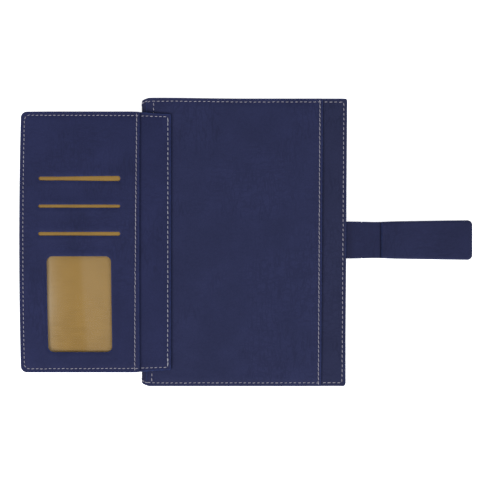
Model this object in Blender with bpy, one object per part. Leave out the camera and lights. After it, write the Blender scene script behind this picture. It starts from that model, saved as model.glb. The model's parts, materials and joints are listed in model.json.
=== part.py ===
# Travel document and passport holder with a card leaf and a magnetic closing strap.
#
# It lies with its front cover folded all the way round behind its back cover, so the inner
# side of the back cover is on top, the spine wraps the left edge, the card leaf is turned out
# to the left and the closing strap points to the right.
#
# Every cover has its own frame: x runs from the fold line to the free edge, z points to the
# side that carries the pockets, and z = 0 is the plane of the fold line.

import math

import bmesh
import bpy
from mathutils import Matrix, Vector

MM = 0.001

# Covers
COVER_WIDTH = 147.5 * MM         # fold line to free edge
COVER_HEIGHT = 209.5 * MM
COVER_CORNER = 1.5 * MM
LINING_THICKNESS = 0.9 * MM
POCKET_THICKNESS = 1.0 * MM
BOARD_THICKNESS = 1.5 * MM
PADDING_THICKNESS = 1.3 * MM
SKIN_THICKNESS = 0.9 * MM
SEAM_ALLOWANCE = 4.5 * MM        # skin edge to board
FOLD_SETBACK = 1.6 * MM          # fold line to the first layer of a cover
POCKET_MOUTH_SETBACK = 17.8 * MM     # free edge to the mouth of the document pocket
PASSPORT_MOUTH_SETBACK = 20.0 * MM   # fold line to the mouth of the passport pocket

# Card leaf
LEAF_PIVOT_SETBACK = 15.2 * MM   # fold line of the back cover to the line where the leaf turns
LEAF_SEAM_WIDTH = 4.4 * MM       # sewn-down strip beside that line
LEAF_WIDTH = 104.8 * MM          # turning line to free edge
LEAF_HEIGHT = 189.0 * MM
LEAF_CORNER = 4.5 * MM
LEAF_SKIN_THICKNESS = 0.8 * MM
LEAF_STRIP_THICKNESS = 0.8 * MM
LEAF_STRIP_TUCK = 12.0 * MM      # how far the strip reaches under the card panel
CARD_PANEL_THICKNESS = 1.0 * MM
CARD_PANEL_SETBACK = 17.5 * MM   # turning line to the hemmed edge of the card panel
GOLD_LINING_THICKNESS = 0.3 * MM
FILM_THICKNESS = 0.3 * MM
LINING_OVERLAP = 4.0 * MM        # linings and film reach this far past what they line
SLOT_COUNT = 3
SLOT_LENGTH = 59.1 * MM
SLOT_HEIGHT = 3.0 * MM
SLOT_PITCH = 20.0 * MM
FIRST_SLOT_DROP = 48.6 * MM      # top edge of the leaf to the middle of the first slot
SLOT_INSET = 13.7 * MM           # free edge of the leaf to the slots
WINDOW_WIDTH = 46.3 * MM
WINDOW_HEIGHT = 69.3 * MM
WINDOW_INSET = 20.1 * MM         # free edge of the leaf to the window
WINDOW_RISE = 14.8 * MM          # bottom edge of the leaf to the window
WINDOW_CORNER = 4.0 * MM

# Closing strap
STRAP_OFFSET = 1.4 * MM          # strap centre above the middle of the cover
STRAP_WIDTH = 27.0 * MM
STRAP_TIP_WIDTH = 29.2 * MM
STRAP_CORNER = 3.7 * MM
STRAP_THICKNESS = 0.9 * MM
STRAP_NECK = 25.0 * MM           # cover edge to the doubled tab
TAB_LENGTH = 66.0 * MM
TAIL_LENGTH = 8.0 * MM           # part of the strap held inside the cover
STRAP_ROOT_SETOUT = 1.5 * MM     # cover edge to the line where the strap turns
STIFFENER_THICKNESS = 1.2 * MM
STIFFENER_INSET = 2.0 * MM
FACING_THICKNESS = 0.8 * MM
MAGNET_RADIUS = 7.0 * MM
MAGNET_SETBACK = 15.0 * MM       # tip of the strap to the middle of the magnet
CATCH_RADIUS = 8.0 * MM          # steel disc in the front cover

# Sewing
THREAD_WIDTH = 0.6 * MM
THREAD_DEPTH = 0.4 * MM
EDGE_SEAM_INSET = 2.4 * MM
SPINE_SEAM_SETBACK = 6.6 * MM    # fold line to the seam beside the spine
HEM_SEAM_INSET = 2.2 * MM

# Fits
LAYER_GAP = 0.3 * MM             # between layers that touch
CLOSING_CLEARANCE = 0.4 * MM     # between the turned leaf and the closed front cover
CORNER_STEPS = 5
ROUND_STEPS = 32

# Layers of a cover, measured from the plane of its fold line
lining_low = LAYER_GAP / 2
lining_top = lining_low + LINING_THICKNESS
pocket_low = lining_top + LAYER_GAP
pocket_top = pocket_low + POCKET_THICKNESS
board_top = -LAYER_GAP / 2
board_low = board_top - BOARD_THICKNESS
padding_top = board_low - LAYER_GAP
padding_low = padding_top - PADDING_THICKNESS
skin_top = padding_low - LAYER_GAP
skin_low = skin_top - SKIN_THICKNESS

# Layers of the leaf, measured from the top of the document pocket
leaf_skin_low = LAYER_GAP
leaf_skin_top = leaf_skin_low + LEAF_SKIN_THICKNESS
strip_low = leaf_skin_top + LAYER_GAP
strip_top = strip_low + LEAF_STRIP_THICKNESS
gold_low = strip_top + LAYER_GAP
gold_top = gold_low + max(GOLD_LINING_THICKNESS, FILM_THICKNESS)
card_panel_low = gold_top + LAYER_GAP
card_panel_top = card_panel_low + CARD_PANEL_THICKNESS
leaf_pivot_rise = max(strip_top + LAYER_GAP / 2, (card_panel_top + LAYER_GAP) / 2)
turned_leaf_top = 2 * leaf_pivot_rise - leaf_skin_low

# The spine keeps the covers apart: by the turned leaf when the holder is closed, and by both
# outer skins when the front cover is folded round behind
closed_width = 2 * pocket_top + turned_leaf_top + CLOSING_CLEARANCE
folded_width = LAYER_GAP - 2 * skin_low
spine_width = max(closed_width, folded_width)

# Strap levels and lengths
strap_drop = LAYER_GAP / 2 + STRAP_THICKNESS / 2
stiffener_low = STRAP_THICKNESS / 2 + LAYER_GAP
stiffener_top = stiffener_low + STIFFENER_THICKNESS
facing_low = stiffener_top + LAYER_GAP
facing_top = facing_low + FACING_THICKNESS
riser_length = spine_width - skin_low + strap_drop + facing_top + LAYER_GAP
bend_gap = STRAP_THICKNESS / 2 + LAYER_GAP
tab_reach = STRAP_NECK + TAB_LENGTH - STRAP_ROOT_SETOUT - riser_length
facing_start = tab_reach - TAB_LENGTH
magnet_reach = tab_reach - MAGNET_SETBACK
catch_reach = COVER_WIDTH + STRAP_ROOT_SETOUT - magnet_reach

# Places in the world: the footprint is centred on the origin and the lowest face is at z = 0
leaf_reach = LEAF_WIDTH - LEAF_PIVOT_SETBACK
fold_x = (leaf_reach - COVER_WIDTH - STRAP_NECK - TAB_LENGTH) / 2
lower_fold_z = pocket_top
upper_fold_z = lower_fold_z + spine_width


def clear_scene():
    for item in list(bpy.data.objects):
        bpy.data.objects.remove(item, do_unlink=True)


def new_collection(name):
    collection = bpy.data.collections.new(name)
    bpy.context.scene.collection.children.link(collection)
    return collection


def new_material(name, colour, roughness, metallic=0.0, alpha=1.0):
    material = bpy.data.materials.new(name)
    material.use_nodes = True
    shader = material.node_tree.nodes["Principled BSDF"]
    shader.inputs["Base Color"].default_value = (*colour, 1.0)
    shader.inputs["Roughness"].default_value = roughness
    shader.inputs["Metallic"].default_value = metallic
    shader.inputs["Alpha"].default_value = alpha
    return material


def new_frame(name, place, turn=Matrix.Identity(4)):
    """An empty that carries the pieces of one body, on the line that the body turns about."""
    frame = bpy.data.objects.new(name, None)
    frame.empty_display_size = 0.01
    frame.matrix_world = Matrix.Translation(Vector(place)) @ turn
    parts.objects.link(frame)
    return frame


def rounded(corners, radii):
    """A convex outline, listed counter-clockwise, with an arc in place of each corner."""
    outline = []
    for index, (corner, radius) in enumerate(zip(corners, radii)):
        here = Vector(corner)
        if radius == 0:
            outline.append(tuple(here))
            continue
        back = (Vector(corners[index - 1]) - here).normalized()
        ahead = (Vector(corners[(index + 1) % len(corners)]) - here).normalized()
        half_angle = back.angle(ahead) / 2
        centre = here + (back + ahead).normalized() * radius / math.sin(half_angle)
        start = here + back * radius / math.tan(half_angle) - centre
        sweep = math.pi - 2 * half_angle
        for step in range(CORNER_STEPS + 1):
            turned = Matrix.Rotation(sweep * step / CORNER_STEPS, 2) @ start
            outline.append(tuple(centre + turned))
    return outline


def rectangle(left, right, bottom, top, left_radius=0.0, right_radius=0.0):
    corners = [(left, bottom), (right, bottom), (right, top), (left, top)]
    return rounded(corners, [left_radius, right_radius, right_radius, left_radius])


def circle(centre_x, centre_y, radius):
    angles = [2 * math.pi * step / ROUND_STEPS for step in range(ROUND_STEPS)]
    return [(centre_x + radius * math.cos(a), centre_y + radius * math.sin(a)) for a in angles]


def line_run(seam_x, bottom, top, width):
    """The outline of a straight seam along y."""
    return rectangle(seam_x - width / 2, seam_x + width / 2, bottom - width / 2, top + width / 2)


def bracket_run(open_x, closed_x, bottom, top, width):
    """The outline of a seam round three sides, open at open_x."""
    outward = math.copysign(width / 2, closed_x - open_x)
    outer = closed_x + outward
    inner = closed_x - outward
    return [
        (open_x, bottom - width / 2), (outer, bottom - width / 2),
        (outer, top + width / 2), (open_x, top + width / 2),
        (open_x, top - width / 2), (inner, top - width / 2),
        (inner, bottom + width / 2), (open_x, bottom + width / 2),
    ]


def sheet(name, outlines, low, top, frame, material=None):
    """A flat layer between two levels: the first outline, less those that follow it."""
    curve = bpy.data.curves.new(name, "CURVE")
    curve.dimensions = "2D"
    curve.fill_mode = "BOTH"
    curve.extrude = (top - low) / 2
    for outline in outlines:
        spline = curve.splines.new("POLY")
        spline.points.add(len(outline) - 1)
        for point, (x, y) in zip(spline.points, outline):
            point.co = (x, y, 0, 1)
        spline.use_cyclic_u = True
    outline_object = bpy.data.objects.new(name + "_outline", curve)
    outline_object.parent = frame
    outline_object.location.z = (top + low) / 2
    parts.objects.link(outline_object)
    bpy.context.view_layer.update()
    evaluated = outline_object.evaluated_get(bpy.context.evaluated_depsgraph_get())
    mesh = bpy.data.meshes.new_from_object(evaluated)
    mesh.name = name
    mesh.materials.clear()
    shape = bmesh.new()
    shape.from_mesh(mesh)
    bmesh.ops.remove_doubles(shape, verts=shape.verts, dist=0.01 * MM)
    bmesh.ops.recalc_face_normals(shape, faces=shape.faces)
    shape.to_mesh(mesh)
    shape.free()
    piece = bpy.data.objects.new(name, mesh)
    piece.parent = frame
    piece.location = outline_object.location
    bpy.data.objects.remove(outline_object)
    bpy.data.curves.remove(curve)
    if material is None:
        cutters.objects.link(piece)
        piece.hide_render = True
        piece.display_type = "WIRE"
    else:
        mesh.materials.append(material)
        parts.objects.link(piece)
    return piece


def disc(name, centre_x, centre_y, radius, low, top, frame, material):
    shape = bmesh.new()
    bmesh.ops.create_cone(shape, cap_ends=True, segments=ROUND_STEPS, radius1=radius,
                          radius2=radius, depth=top - low)
    mesh = bpy.data.meshes.new(name)
    shape.to_mesh(mesh)
    shape.free()
    mesh.shade_smooth()
    mesh.set_sharp_from_angle(angle=math.radians(30))
    mesh.materials.append(material)
    piece = bpy.data.objects.new(name, mesh)
    piece.parent = frame
    piece.location = (centre_x, centre_y, (low + top) / 2)
    parts.objects.link(piece)
    return piece


def cut(piece, cutter):
    modifier = piece.modifiers.new("cut_" + cutter.name, "BOOLEAN")
    modifier.operation = "DIFFERENCE"
    modifier.solver = "EXACT"
    modifier.object = cutter


def sew(name, host, run, surface, frame):
    """A thread sunk flush into the surface of its host; run(width) gives the seam's outline."""
    groove_low = surface - THREAD_DEPTH - LAYER_GAP
    groove = sheet(name + "_groove", [run(THREAD_WIDTH + 2 * LAYER_GAP)], groove_low,
                   surface + THREAD_DEPTH, frame)
    cut(host, groove)
    sheet(name, [run(THREAD_WIDTH)], surface - THREAD_DEPTH, surface, frame, thread)


def make_cover(side, frame, strap_slot=False, catch=False):
    """The five layers that both covers share, and what the closing strap needs in them."""
    half = COVER_HEIGHT / 2
    whole = rectangle(FOLD_SETBACK, COVER_WIDTH, -half, half, right_radius=COVER_CORNER)
    skin = sheet(side + "_skin", [whole], skin_low, board_top, frame, leather)
    hollow = rectangle(FOLD_SETBACK + SKIN_THICKNESS, COVER_WIDTH - SKIN_THICKNESS,
                       SKIN_THICKNESS - half, half - SKIN_THICKNESS)
    cut(skin, sheet(side + "_skin_hollow", [hollow], skin_top, board_top + MM, frame))

    filling_top = half - SEAM_ALLOWANCE
    filling_start = FOLD_SETBACK + SEAM_ALLOWANCE
    board_end = COVER_WIDTH - SEAM_ALLOWANCE
    if strap_slot:
        board_end = COVER_WIDTH - TAIL_LENGTH - LAYER_GAP
        slot_half = STRAP_WIDTH / 2 + LAYER_GAP
        slot = rectangle(COVER_WIDTH - 2 * SKIN_THICKNESS, COVER_WIDTH + MM,
                         STRAP_OFFSET - slot_half, STRAP_OFFSET + slot_half)
        slot_low = board_top - STRAP_THICKNESS - LAYER_GAP
        cut(skin, sheet(side + "_strap_slot", [slot], slot_low, board_top + MM, frame))
    board = rectangle(filling_start, board_end, -filling_top, filling_top)
    sheet(side + "_board", [board], board_low, board_top, frame, card)

    padding = [rectangle(filling_start, COVER_WIDTH - SEAM_ALLOWANCE, -filling_top, filling_top)]
    if catch:
        padding.append(circle(catch_reach, -STRAP_OFFSET, CATCH_RADIUS + LAYER_GAP))
    sheet(side + "_padding", padding, padding_low, padding_top, frame, foam)
    return sheet(side + "_lining", [whole], lining_low, lining_top, frame, lining)


def make_back_cover(frame):
    half = COVER_HEIGHT / 2
    seam_top = half - EDGE_SEAM_INSET
    mouth = COVER_WIDTH - POCKET_MOUTH_SETBACK
    cover_lining = make_cover("back_cover", frame, strap_slot=True)
    pocket = sheet("document_pocket_panel", [rectangle(FOLD_SETBACK, mouth, -half, half)],
                   pocket_low, pocket_top, frame, leather)
    sew("cover_edge_thread", cover_lining, lambda width: bracket_run(
        mouth + EDGE_SEAM_INSET, COVER_WIDTH - EDGE_SEAM_INSET, -seam_top, seam_top, width),
        lining_top, frame)
    hem = mouth - HEM_SEAM_INSET
    sew("pocket_edge_thread", pocket, lambda width: bracket_run(
        hem - EDGE_SEAM_INSET, SPINE_SEAM_SETBACK, -seam_top, seam_top, width),
        pocket_top, frame)
    sew("pocket_hem_thread", pocket, lambda width: line_run(hem, -seam_top, seam_top, width),
        pocket_top, frame)

    tail_half = STRAP_WIDTH / 2
    tail_end = COVER_WIDTH + STRAP_ROOT_SETOUT - bend_gap
    tail = rectangle(COVER_WIDTH - TAIL_LENGTH, tail_end, STRAP_OFFSET - tail_half,
                     STRAP_OFFSET + tail_half)
    sheet("strap_tail", [tail], board_top - STRAP_THICKNESS, board_top, frame, leather)

    leaf_half = LEAF_HEIGHT / 2
    strip_start = LEAF_PIVOT_SETBACK + LAYER_GAP
    strip_end = LEAF_PIVOT_SETBACK + LEAF_SEAM_WIDTH
    strip = sheet("leaf_seam_strip", [rectangle(strip_start, strip_end, -leaf_half, leaf_half)],
                  pocket_top + leaf_skin_low, pocket_top + strip_top, frame, leather)
    seam_half = leaf_half - EDGE_SEAM_INSET
    seam_x = (strip_start + strip_end) / 2
    sew("leaf_seam_thread", strip, lambda width: line_run(seam_x, -seam_half, seam_half, width),
        pocket_top + strip_top, frame)


def make_spine(frame):
    """The spine's frame has x running from the upper fold line down to the lower one."""
    half = COVER_HEIGHT / 2
    band = rectangle(LAYER_GAP, spine_width - LAYER_GAP, -half, half)
    sheet("spine_lining", [band], lining_low, lining_top, frame, lining)
    sheet("spine_skin", [band], -lining_top, -lining_low, frame, leather)


def make_front_cover(frame):
    half = COVER_HEIGHT / 2
    make_cover("front_cover", frame, catch=True)
    disc("catch_plate", catch_reach, -STRAP_OFFSET, CATCH_RADIUS, padding_low, padding_top,
         frame, steel)
    pocket = sheet("passport_pocket_panel",
                   [rectangle(PASSPORT_MOUTH_SETBACK, COVER_WIDTH, -half, half,
                              right_radius=COVER_CORNER)],
                   pocket_low, pocket_top, frame, leather)
    seam_top = half - EDGE_SEAM_INSET
    hem = PASSPORT_MOUTH_SETBACK + HEM_SEAM_INSET
    sew("passport_edge_thread", pocket, lambda width: bracket_run(
        hem + EDGE_SEAM_INSET, COVER_WIDTH - EDGE_SEAM_INSET, -seam_top, seam_top, width),
        pocket_top, frame)
    sew("passport_hem_thread", pocket, lambda width: line_run(hem, -seam_top, seam_top, width),
        pocket_top, frame)


def make_card_leaf(frame):
    """The leaf's frame is on its turning line, and the leaf reaches out along -x."""
    half = LEAF_HEIGHT / 2
    rise = -leaf_pivot_rise
    free_edge = -LEAF_WIDTH
    root = -LAYER_GAP
    panel_edge = -CARD_PANEL_SETBACK
    strip_end = panel_edge - LEAF_STRIP_TUCK

    sheet("leaf_skin", [rectangle(free_edge, root, -half, half, left_radius=LEAF_CORNER)],
          rise + leaf_skin_low, rise + leaf_skin_top, frame, leather)
    sheet("leaf_strip", [rectangle(strip_end, root, -half, half)],
          rise + strip_low, rise + strip_top, frame, leather)
    inner_half = half - EDGE_SEAM_INSET - LAYER_GAP
    inner_edge = free_edge + EDGE_SEAM_INSET + LAYER_GAP
    sheet("leaf_gold_lining",
          [rectangle(inner_edge, strip_end - LAYER_GAP, -inner_half, inner_half)],
          rise + strip_low, rise + strip_low + GOLD_LINING_THICKNESS, frame, gold_cloth)

    slots = []
    slot_left = free_edge + SLOT_INSET
    for index in range(SLOT_COUNT):
        middle = half - FIRST_SLOT_DROP - index * SLOT_PITCH
        slots.append(rectangle(slot_left, slot_left + SLOT_LENGTH, middle - SLOT_HEIGHT / 2,
                               middle + SLOT_HEIGHT / 2, SLOT_HEIGHT * 0.49, SLOT_HEIGHT * 0.49))
    lowest_slot = half - FIRST_SLOT_DROP - (SLOT_COUNT - 1) * SLOT_PITCH
    window_left = free_edge + WINDOW_INSET
    window_bottom = -half + WINDOW_RISE
    window_top = window_bottom + WINDOW_HEIGHT
    window = rectangle(window_left, window_left + WINDOW_WIDTH, window_bottom, window_top,
                       WINDOW_CORNER, WINDOW_CORNER)
    lining_bottom = max(lowest_slot - SLOT_HEIGHT / 2 - LINING_OVERLAP,
                        window_top + LINING_OVERLAP + LAYER_GAP)
    pouch = rectangle(slot_left - LINING_OVERLAP, slot_left + SLOT_LENGTH + LINING_OVERLAP,
                      lining_bottom, half - FIRST_SLOT_DROP + SLOT_HEIGHT / 2 + LINING_OVERLAP)
    sheet("card_slot_lining", [pouch], rise + gold_low, rise + gold_low + GOLD_LINING_THICKNESS,
          frame, gold_cloth)
    pane = rectangle(window_left - LINING_OVERLAP, window_left + WINDOW_WIDTH + LINING_OVERLAP,
                     window_bottom - LINING_OVERLAP, window_top + LINING_OVERLAP)
    sheet("id_window_film", [pane], rise + gold_low, rise + gold_low + FILM_THICKNESS, frame,
          film)

    outline = rectangle(free_edge, panel_edge, -half, half, left_radius=LEAF_CORNER)
    panel = sheet("card_pocket_panel", [outline, *slots, window],
                  rise + card_panel_low, rise + card_panel_top, frame, leather)
    seam_half = half - EDGE_SEAM_INSET
    hem = panel_edge - HEM_SEAM_INSET
    sew("leaf_edge_thread", panel, lambda width: bracket_run(
        hem - EDGE_SEAM_INSET, free_edge + EDGE_SEAM_INSET, -seam_half, seam_half, width),
        rise + card_panel_top, frame)
    sew("leaf_hem_thread", panel, lambda width: line_run(hem, -seam_half, seam_half, width),
        rise + card_panel_top, frame)


def tab_outline(start, inset):
    """The tab from start to its rounded tip; it widens from the doubled part's start."""
    tip = tab_reach - inset
    root_half = STRAP_WIDTH / 2 - inset
    tip_half = STRAP_TIP_WIDTH / 2 - inset
    corners = [(start, -root_half), (facing_start, -root_half), (tip, -tip_half),
               (tip, tip_half), (facing_start, root_half), (start, root_half)]
    if start >= facing_start:
        corners = [corners[index] for index in (0, 2, 3, 5)]
    radii = [STRAP_CORNER - inset if x == tip else 0 for x, y in corners]
    return [(x, y + STRAP_OFFSET) for x, y in rounded(corners, radii)]


def make_strap_riser(frame):
    half = STRAP_WIDTH / 2
    band = rectangle(bend_gap, riser_length - bend_gap, STRAP_OFFSET - half, STRAP_OFFSET + half)
    sheet("strap_riser", [band], -STRAP_THICKNESS / 2, STRAP_THICKNESS / 2, frame, leather)


def make_strap_tab(frame):
    sheet("strap_band", [tab_outline(bend_gap, 0.0)], -STRAP_THICKNESS / 2, STRAP_THICKNESS / 2,
          frame, leather)
    stiffener = [tab_outline(facing_start + STIFFENER_INSET, STIFFENER_INSET),
                 circle(magnet_reach, STRAP_OFFSET, MAGNET_RADIUS + LAYER_GAP)]
    sheet("strap_stiffener", stiffener, stiffener_low, stiffener_top, frame, plastic)
    disc("strap_magnet", magnet_reach, STRAP_OFFSET, MAGNET_RADIUS, stiffener_low,
         stiffener_top, frame, steel)
    sheet("strap_facing", [tab_outline(facing_start, 0.0)], facing_low, facing_top, frame,
          leather)


clear_scene()
parts = new_collection("passport_holder")
cutters = new_collection("cutters")

leather = new_material("navy_leather", (0.030, 0.033, 0.100), 0.55)
lining = new_material("navy_lining", (0.024, 0.026, 0.075), 0.65)
gold_cloth = new_material("gold_cloth", (0.38, 0.24, 0.09), 0.45)
film = new_material("clear_film", (0.85, 0.83, 0.78), 0.12, alpha=0.35)
thread = new_material("thread", (0.55, 0.52, 0.60), 0.70)
card = new_material("grey_board", (0.32, 0.30, 0.27), 0.90)
foam = new_material("padding_foam", (0.70, 0.68, 0.60), 0.95)
plastic = new_material("stiffener_plastic", (0.05, 0.05, 0.06), 0.50)
steel = new_material("plated_steel", (0.55, 0.56, 0.58), 0.30, metallic=1.0)

upside_down = Matrix.Rotation(math.pi, 4, "X")
spine_turn = Matrix(((0, 0, -1, 0), (0, -1, 0, 0), (-1, 0, 0, 0), (0, 0, 0, 1)))
edge_x = fold_x + COVER_WIDTH
strap_z = upper_fold_z - strap_drop

make_back_cover(new_frame("back_cover_frame", (fold_x, 0, upper_fold_z)))
make_spine(new_frame("spine_fold_line", (fold_x, 0, upper_fold_z), spine_turn))
make_front_cover(new_frame("cover_fold_line", (fold_x, 0, lower_fold_z), upside_down))
make_card_leaf(new_frame("leaf_turn_line", (fold_x + LEAF_PIVOT_SETBACK, 0,
                                            upper_fold_z + pocket_top + leaf_pivot_rise)))
make_strap_riser(new_frame("strap_root_line", (edge_x + STRAP_ROOT_SETOUT, 0, strap_z)))
make_strap_tab(new_frame("strap_bend_line",
                         (edge_x + STRAP_ROOT_SETOUT + riser_length, 0, strap_z)))
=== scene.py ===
import json
import math

import bpy
import numpy as np
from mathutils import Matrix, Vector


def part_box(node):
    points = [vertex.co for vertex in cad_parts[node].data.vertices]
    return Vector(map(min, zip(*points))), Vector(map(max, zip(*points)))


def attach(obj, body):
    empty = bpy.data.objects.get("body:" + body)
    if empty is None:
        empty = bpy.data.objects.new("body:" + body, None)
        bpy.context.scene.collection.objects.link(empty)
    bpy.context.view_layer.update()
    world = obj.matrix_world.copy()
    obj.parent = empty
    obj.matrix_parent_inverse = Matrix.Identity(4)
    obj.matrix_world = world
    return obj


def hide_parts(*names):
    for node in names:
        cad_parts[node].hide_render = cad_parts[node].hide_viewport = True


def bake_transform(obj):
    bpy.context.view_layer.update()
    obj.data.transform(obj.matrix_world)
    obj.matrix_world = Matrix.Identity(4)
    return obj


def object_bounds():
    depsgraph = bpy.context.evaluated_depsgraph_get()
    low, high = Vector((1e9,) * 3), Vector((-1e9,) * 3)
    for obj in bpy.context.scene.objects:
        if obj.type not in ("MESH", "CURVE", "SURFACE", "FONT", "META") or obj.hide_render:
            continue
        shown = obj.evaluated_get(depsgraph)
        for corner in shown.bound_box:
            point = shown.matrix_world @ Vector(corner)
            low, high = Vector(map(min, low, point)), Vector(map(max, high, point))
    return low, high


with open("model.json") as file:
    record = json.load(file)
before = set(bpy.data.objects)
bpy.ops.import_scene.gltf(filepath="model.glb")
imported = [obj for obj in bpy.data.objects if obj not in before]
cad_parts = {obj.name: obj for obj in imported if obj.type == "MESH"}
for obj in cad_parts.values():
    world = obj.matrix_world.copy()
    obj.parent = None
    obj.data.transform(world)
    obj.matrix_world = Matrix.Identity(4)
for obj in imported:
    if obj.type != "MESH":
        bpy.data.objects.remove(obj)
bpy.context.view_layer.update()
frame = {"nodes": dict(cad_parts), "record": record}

mm = 0.001
chance = np.random.default_rng(12)


# ---- places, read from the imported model

joints = {joint["name"]: joint["pos_m"] for joint in frame["record"]["behaviour"]["joints"]}
foldX, _, upperFoldZ = joints["spine_fold"]
lowerFoldZ = joints["cover_fold"][2]
spineWidth = upperFoldZ - lowerFoldZ
leafLineX, _, leafLineZ = joints["leaf_turn"]
rootX, _, strapZ = joints["strap_root"]
bendX = joints["strap_bend"][0]


# levels of a node's low and top face above a given plane
def levels(node, plane):
    low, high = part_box(node)
    return low[2] - plane, high[2] - plane


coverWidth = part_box("back_cover_skin")[1][0] - foldX
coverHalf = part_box("back_cover_skin")[1][1]
skinLow = levels("back_cover_skin", upperFoldZ)[0]
liningLow, liningTop = levels("back_cover_lining", upperFoldZ)
pocketLow, pocketTop = levels("document_pocket_panel", upperFoldZ)
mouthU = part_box("document_pocket_panel")[1][0] - foldX
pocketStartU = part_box("document_pocket_panel")[0][0] - foldX
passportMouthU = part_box("passport_pocket_panel")[0][0] - foldX


def smoothStep(value, low, high):
    share = np.clip((value - low) / (high - low), 0, 1)
    return share * share * (3 - 2 * share)


# Grid lines from low to high. Their density is 1/coarse, rising to 1/fine near the listed
# places; the running total of the density is turned round to give the lines.
def gradedLines(low, high, coarse, fine, near, reach=1.6 * mm):
    place = np.linspace(low, high, 6001)
    density = np.full_like(place, 1 / coarse)
    for centre in near:
        density = np.maximum(density, np.exp(-((place - centre) / reach) ** 4) / fine)
    total = np.concatenate([[0], np.cumsum((density[1:] + density[:-1]) / 2 * np.diff(place))])
    return np.interp(np.linspace(0, total[-1], int(np.ceil(total[-1])) + 1), total, place)


# The same, finer beside both ends, where the sheet's edge turns over
def rimmedLines(low, high, coarse, fine, near=(), reach=1.6 * mm):
    return gradedLines(low, high, coarse, fine, [low + 0.7 * mm, high - 0.7 * mm, *near], reach)


# Signed distance to a rectangle with rounded corners, negative inside. The low-x and high-x
# corners have their own radii.
def panelDistance(x, y, lowX, highX, lowY, highY, lowCorner, highCorner):
    midX, midY = (lowX + highX) / 2, (lowY + highY) / 2
    corner = np.where(x < midX, lowCorner, highCorner)
    overX = np.abs(x - midX) - (highX - lowX) / 2 + corner
    overY = np.abs(y - midY) - (highY - lowY) / 2 + corner
    outside = np.hypot(np.maximum(overX, 0), np.maximum(overY, 0))
    return outside + np.minimum(np.maximum(overX, overY), 0) - corner


# Uphill direction of a signed distance and how steep it is, from small steps either side
def uphill(distance, x, y, step=0.02 * mm):
    alongX = distance(x + step, y) - distance(x - step, y)
    alongY = distance(x, y + step) - distance(x, y - step)
    size = np.maximum(np.hypot(alongX, alongY), 1e-12)
    return alongX / size, alongY / size, size / (2 * step)


def meshPiece(name, points, faces, material, attributes=None):
    mesh = bpy.data.meshes.new(name)
    mesh.from_pydata(points.tolist(), [], faces)
    mesh.polygons.foreach_set("use_smooth", np.ones(len(faces), bool))
    for key, values in (attributes or {}).items():
        layer = mesh.attributes.new(key, "FLOAT", "POINT")
        layer.data.foreach_set("value", values.astype(np.float32))
    mesh.materials.append(material)
    mesh.update()
    piece = bpy.data.objects.new(name, mesh)
    bpy.context.scene.collection.objects.link(piece)
    return piece


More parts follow.
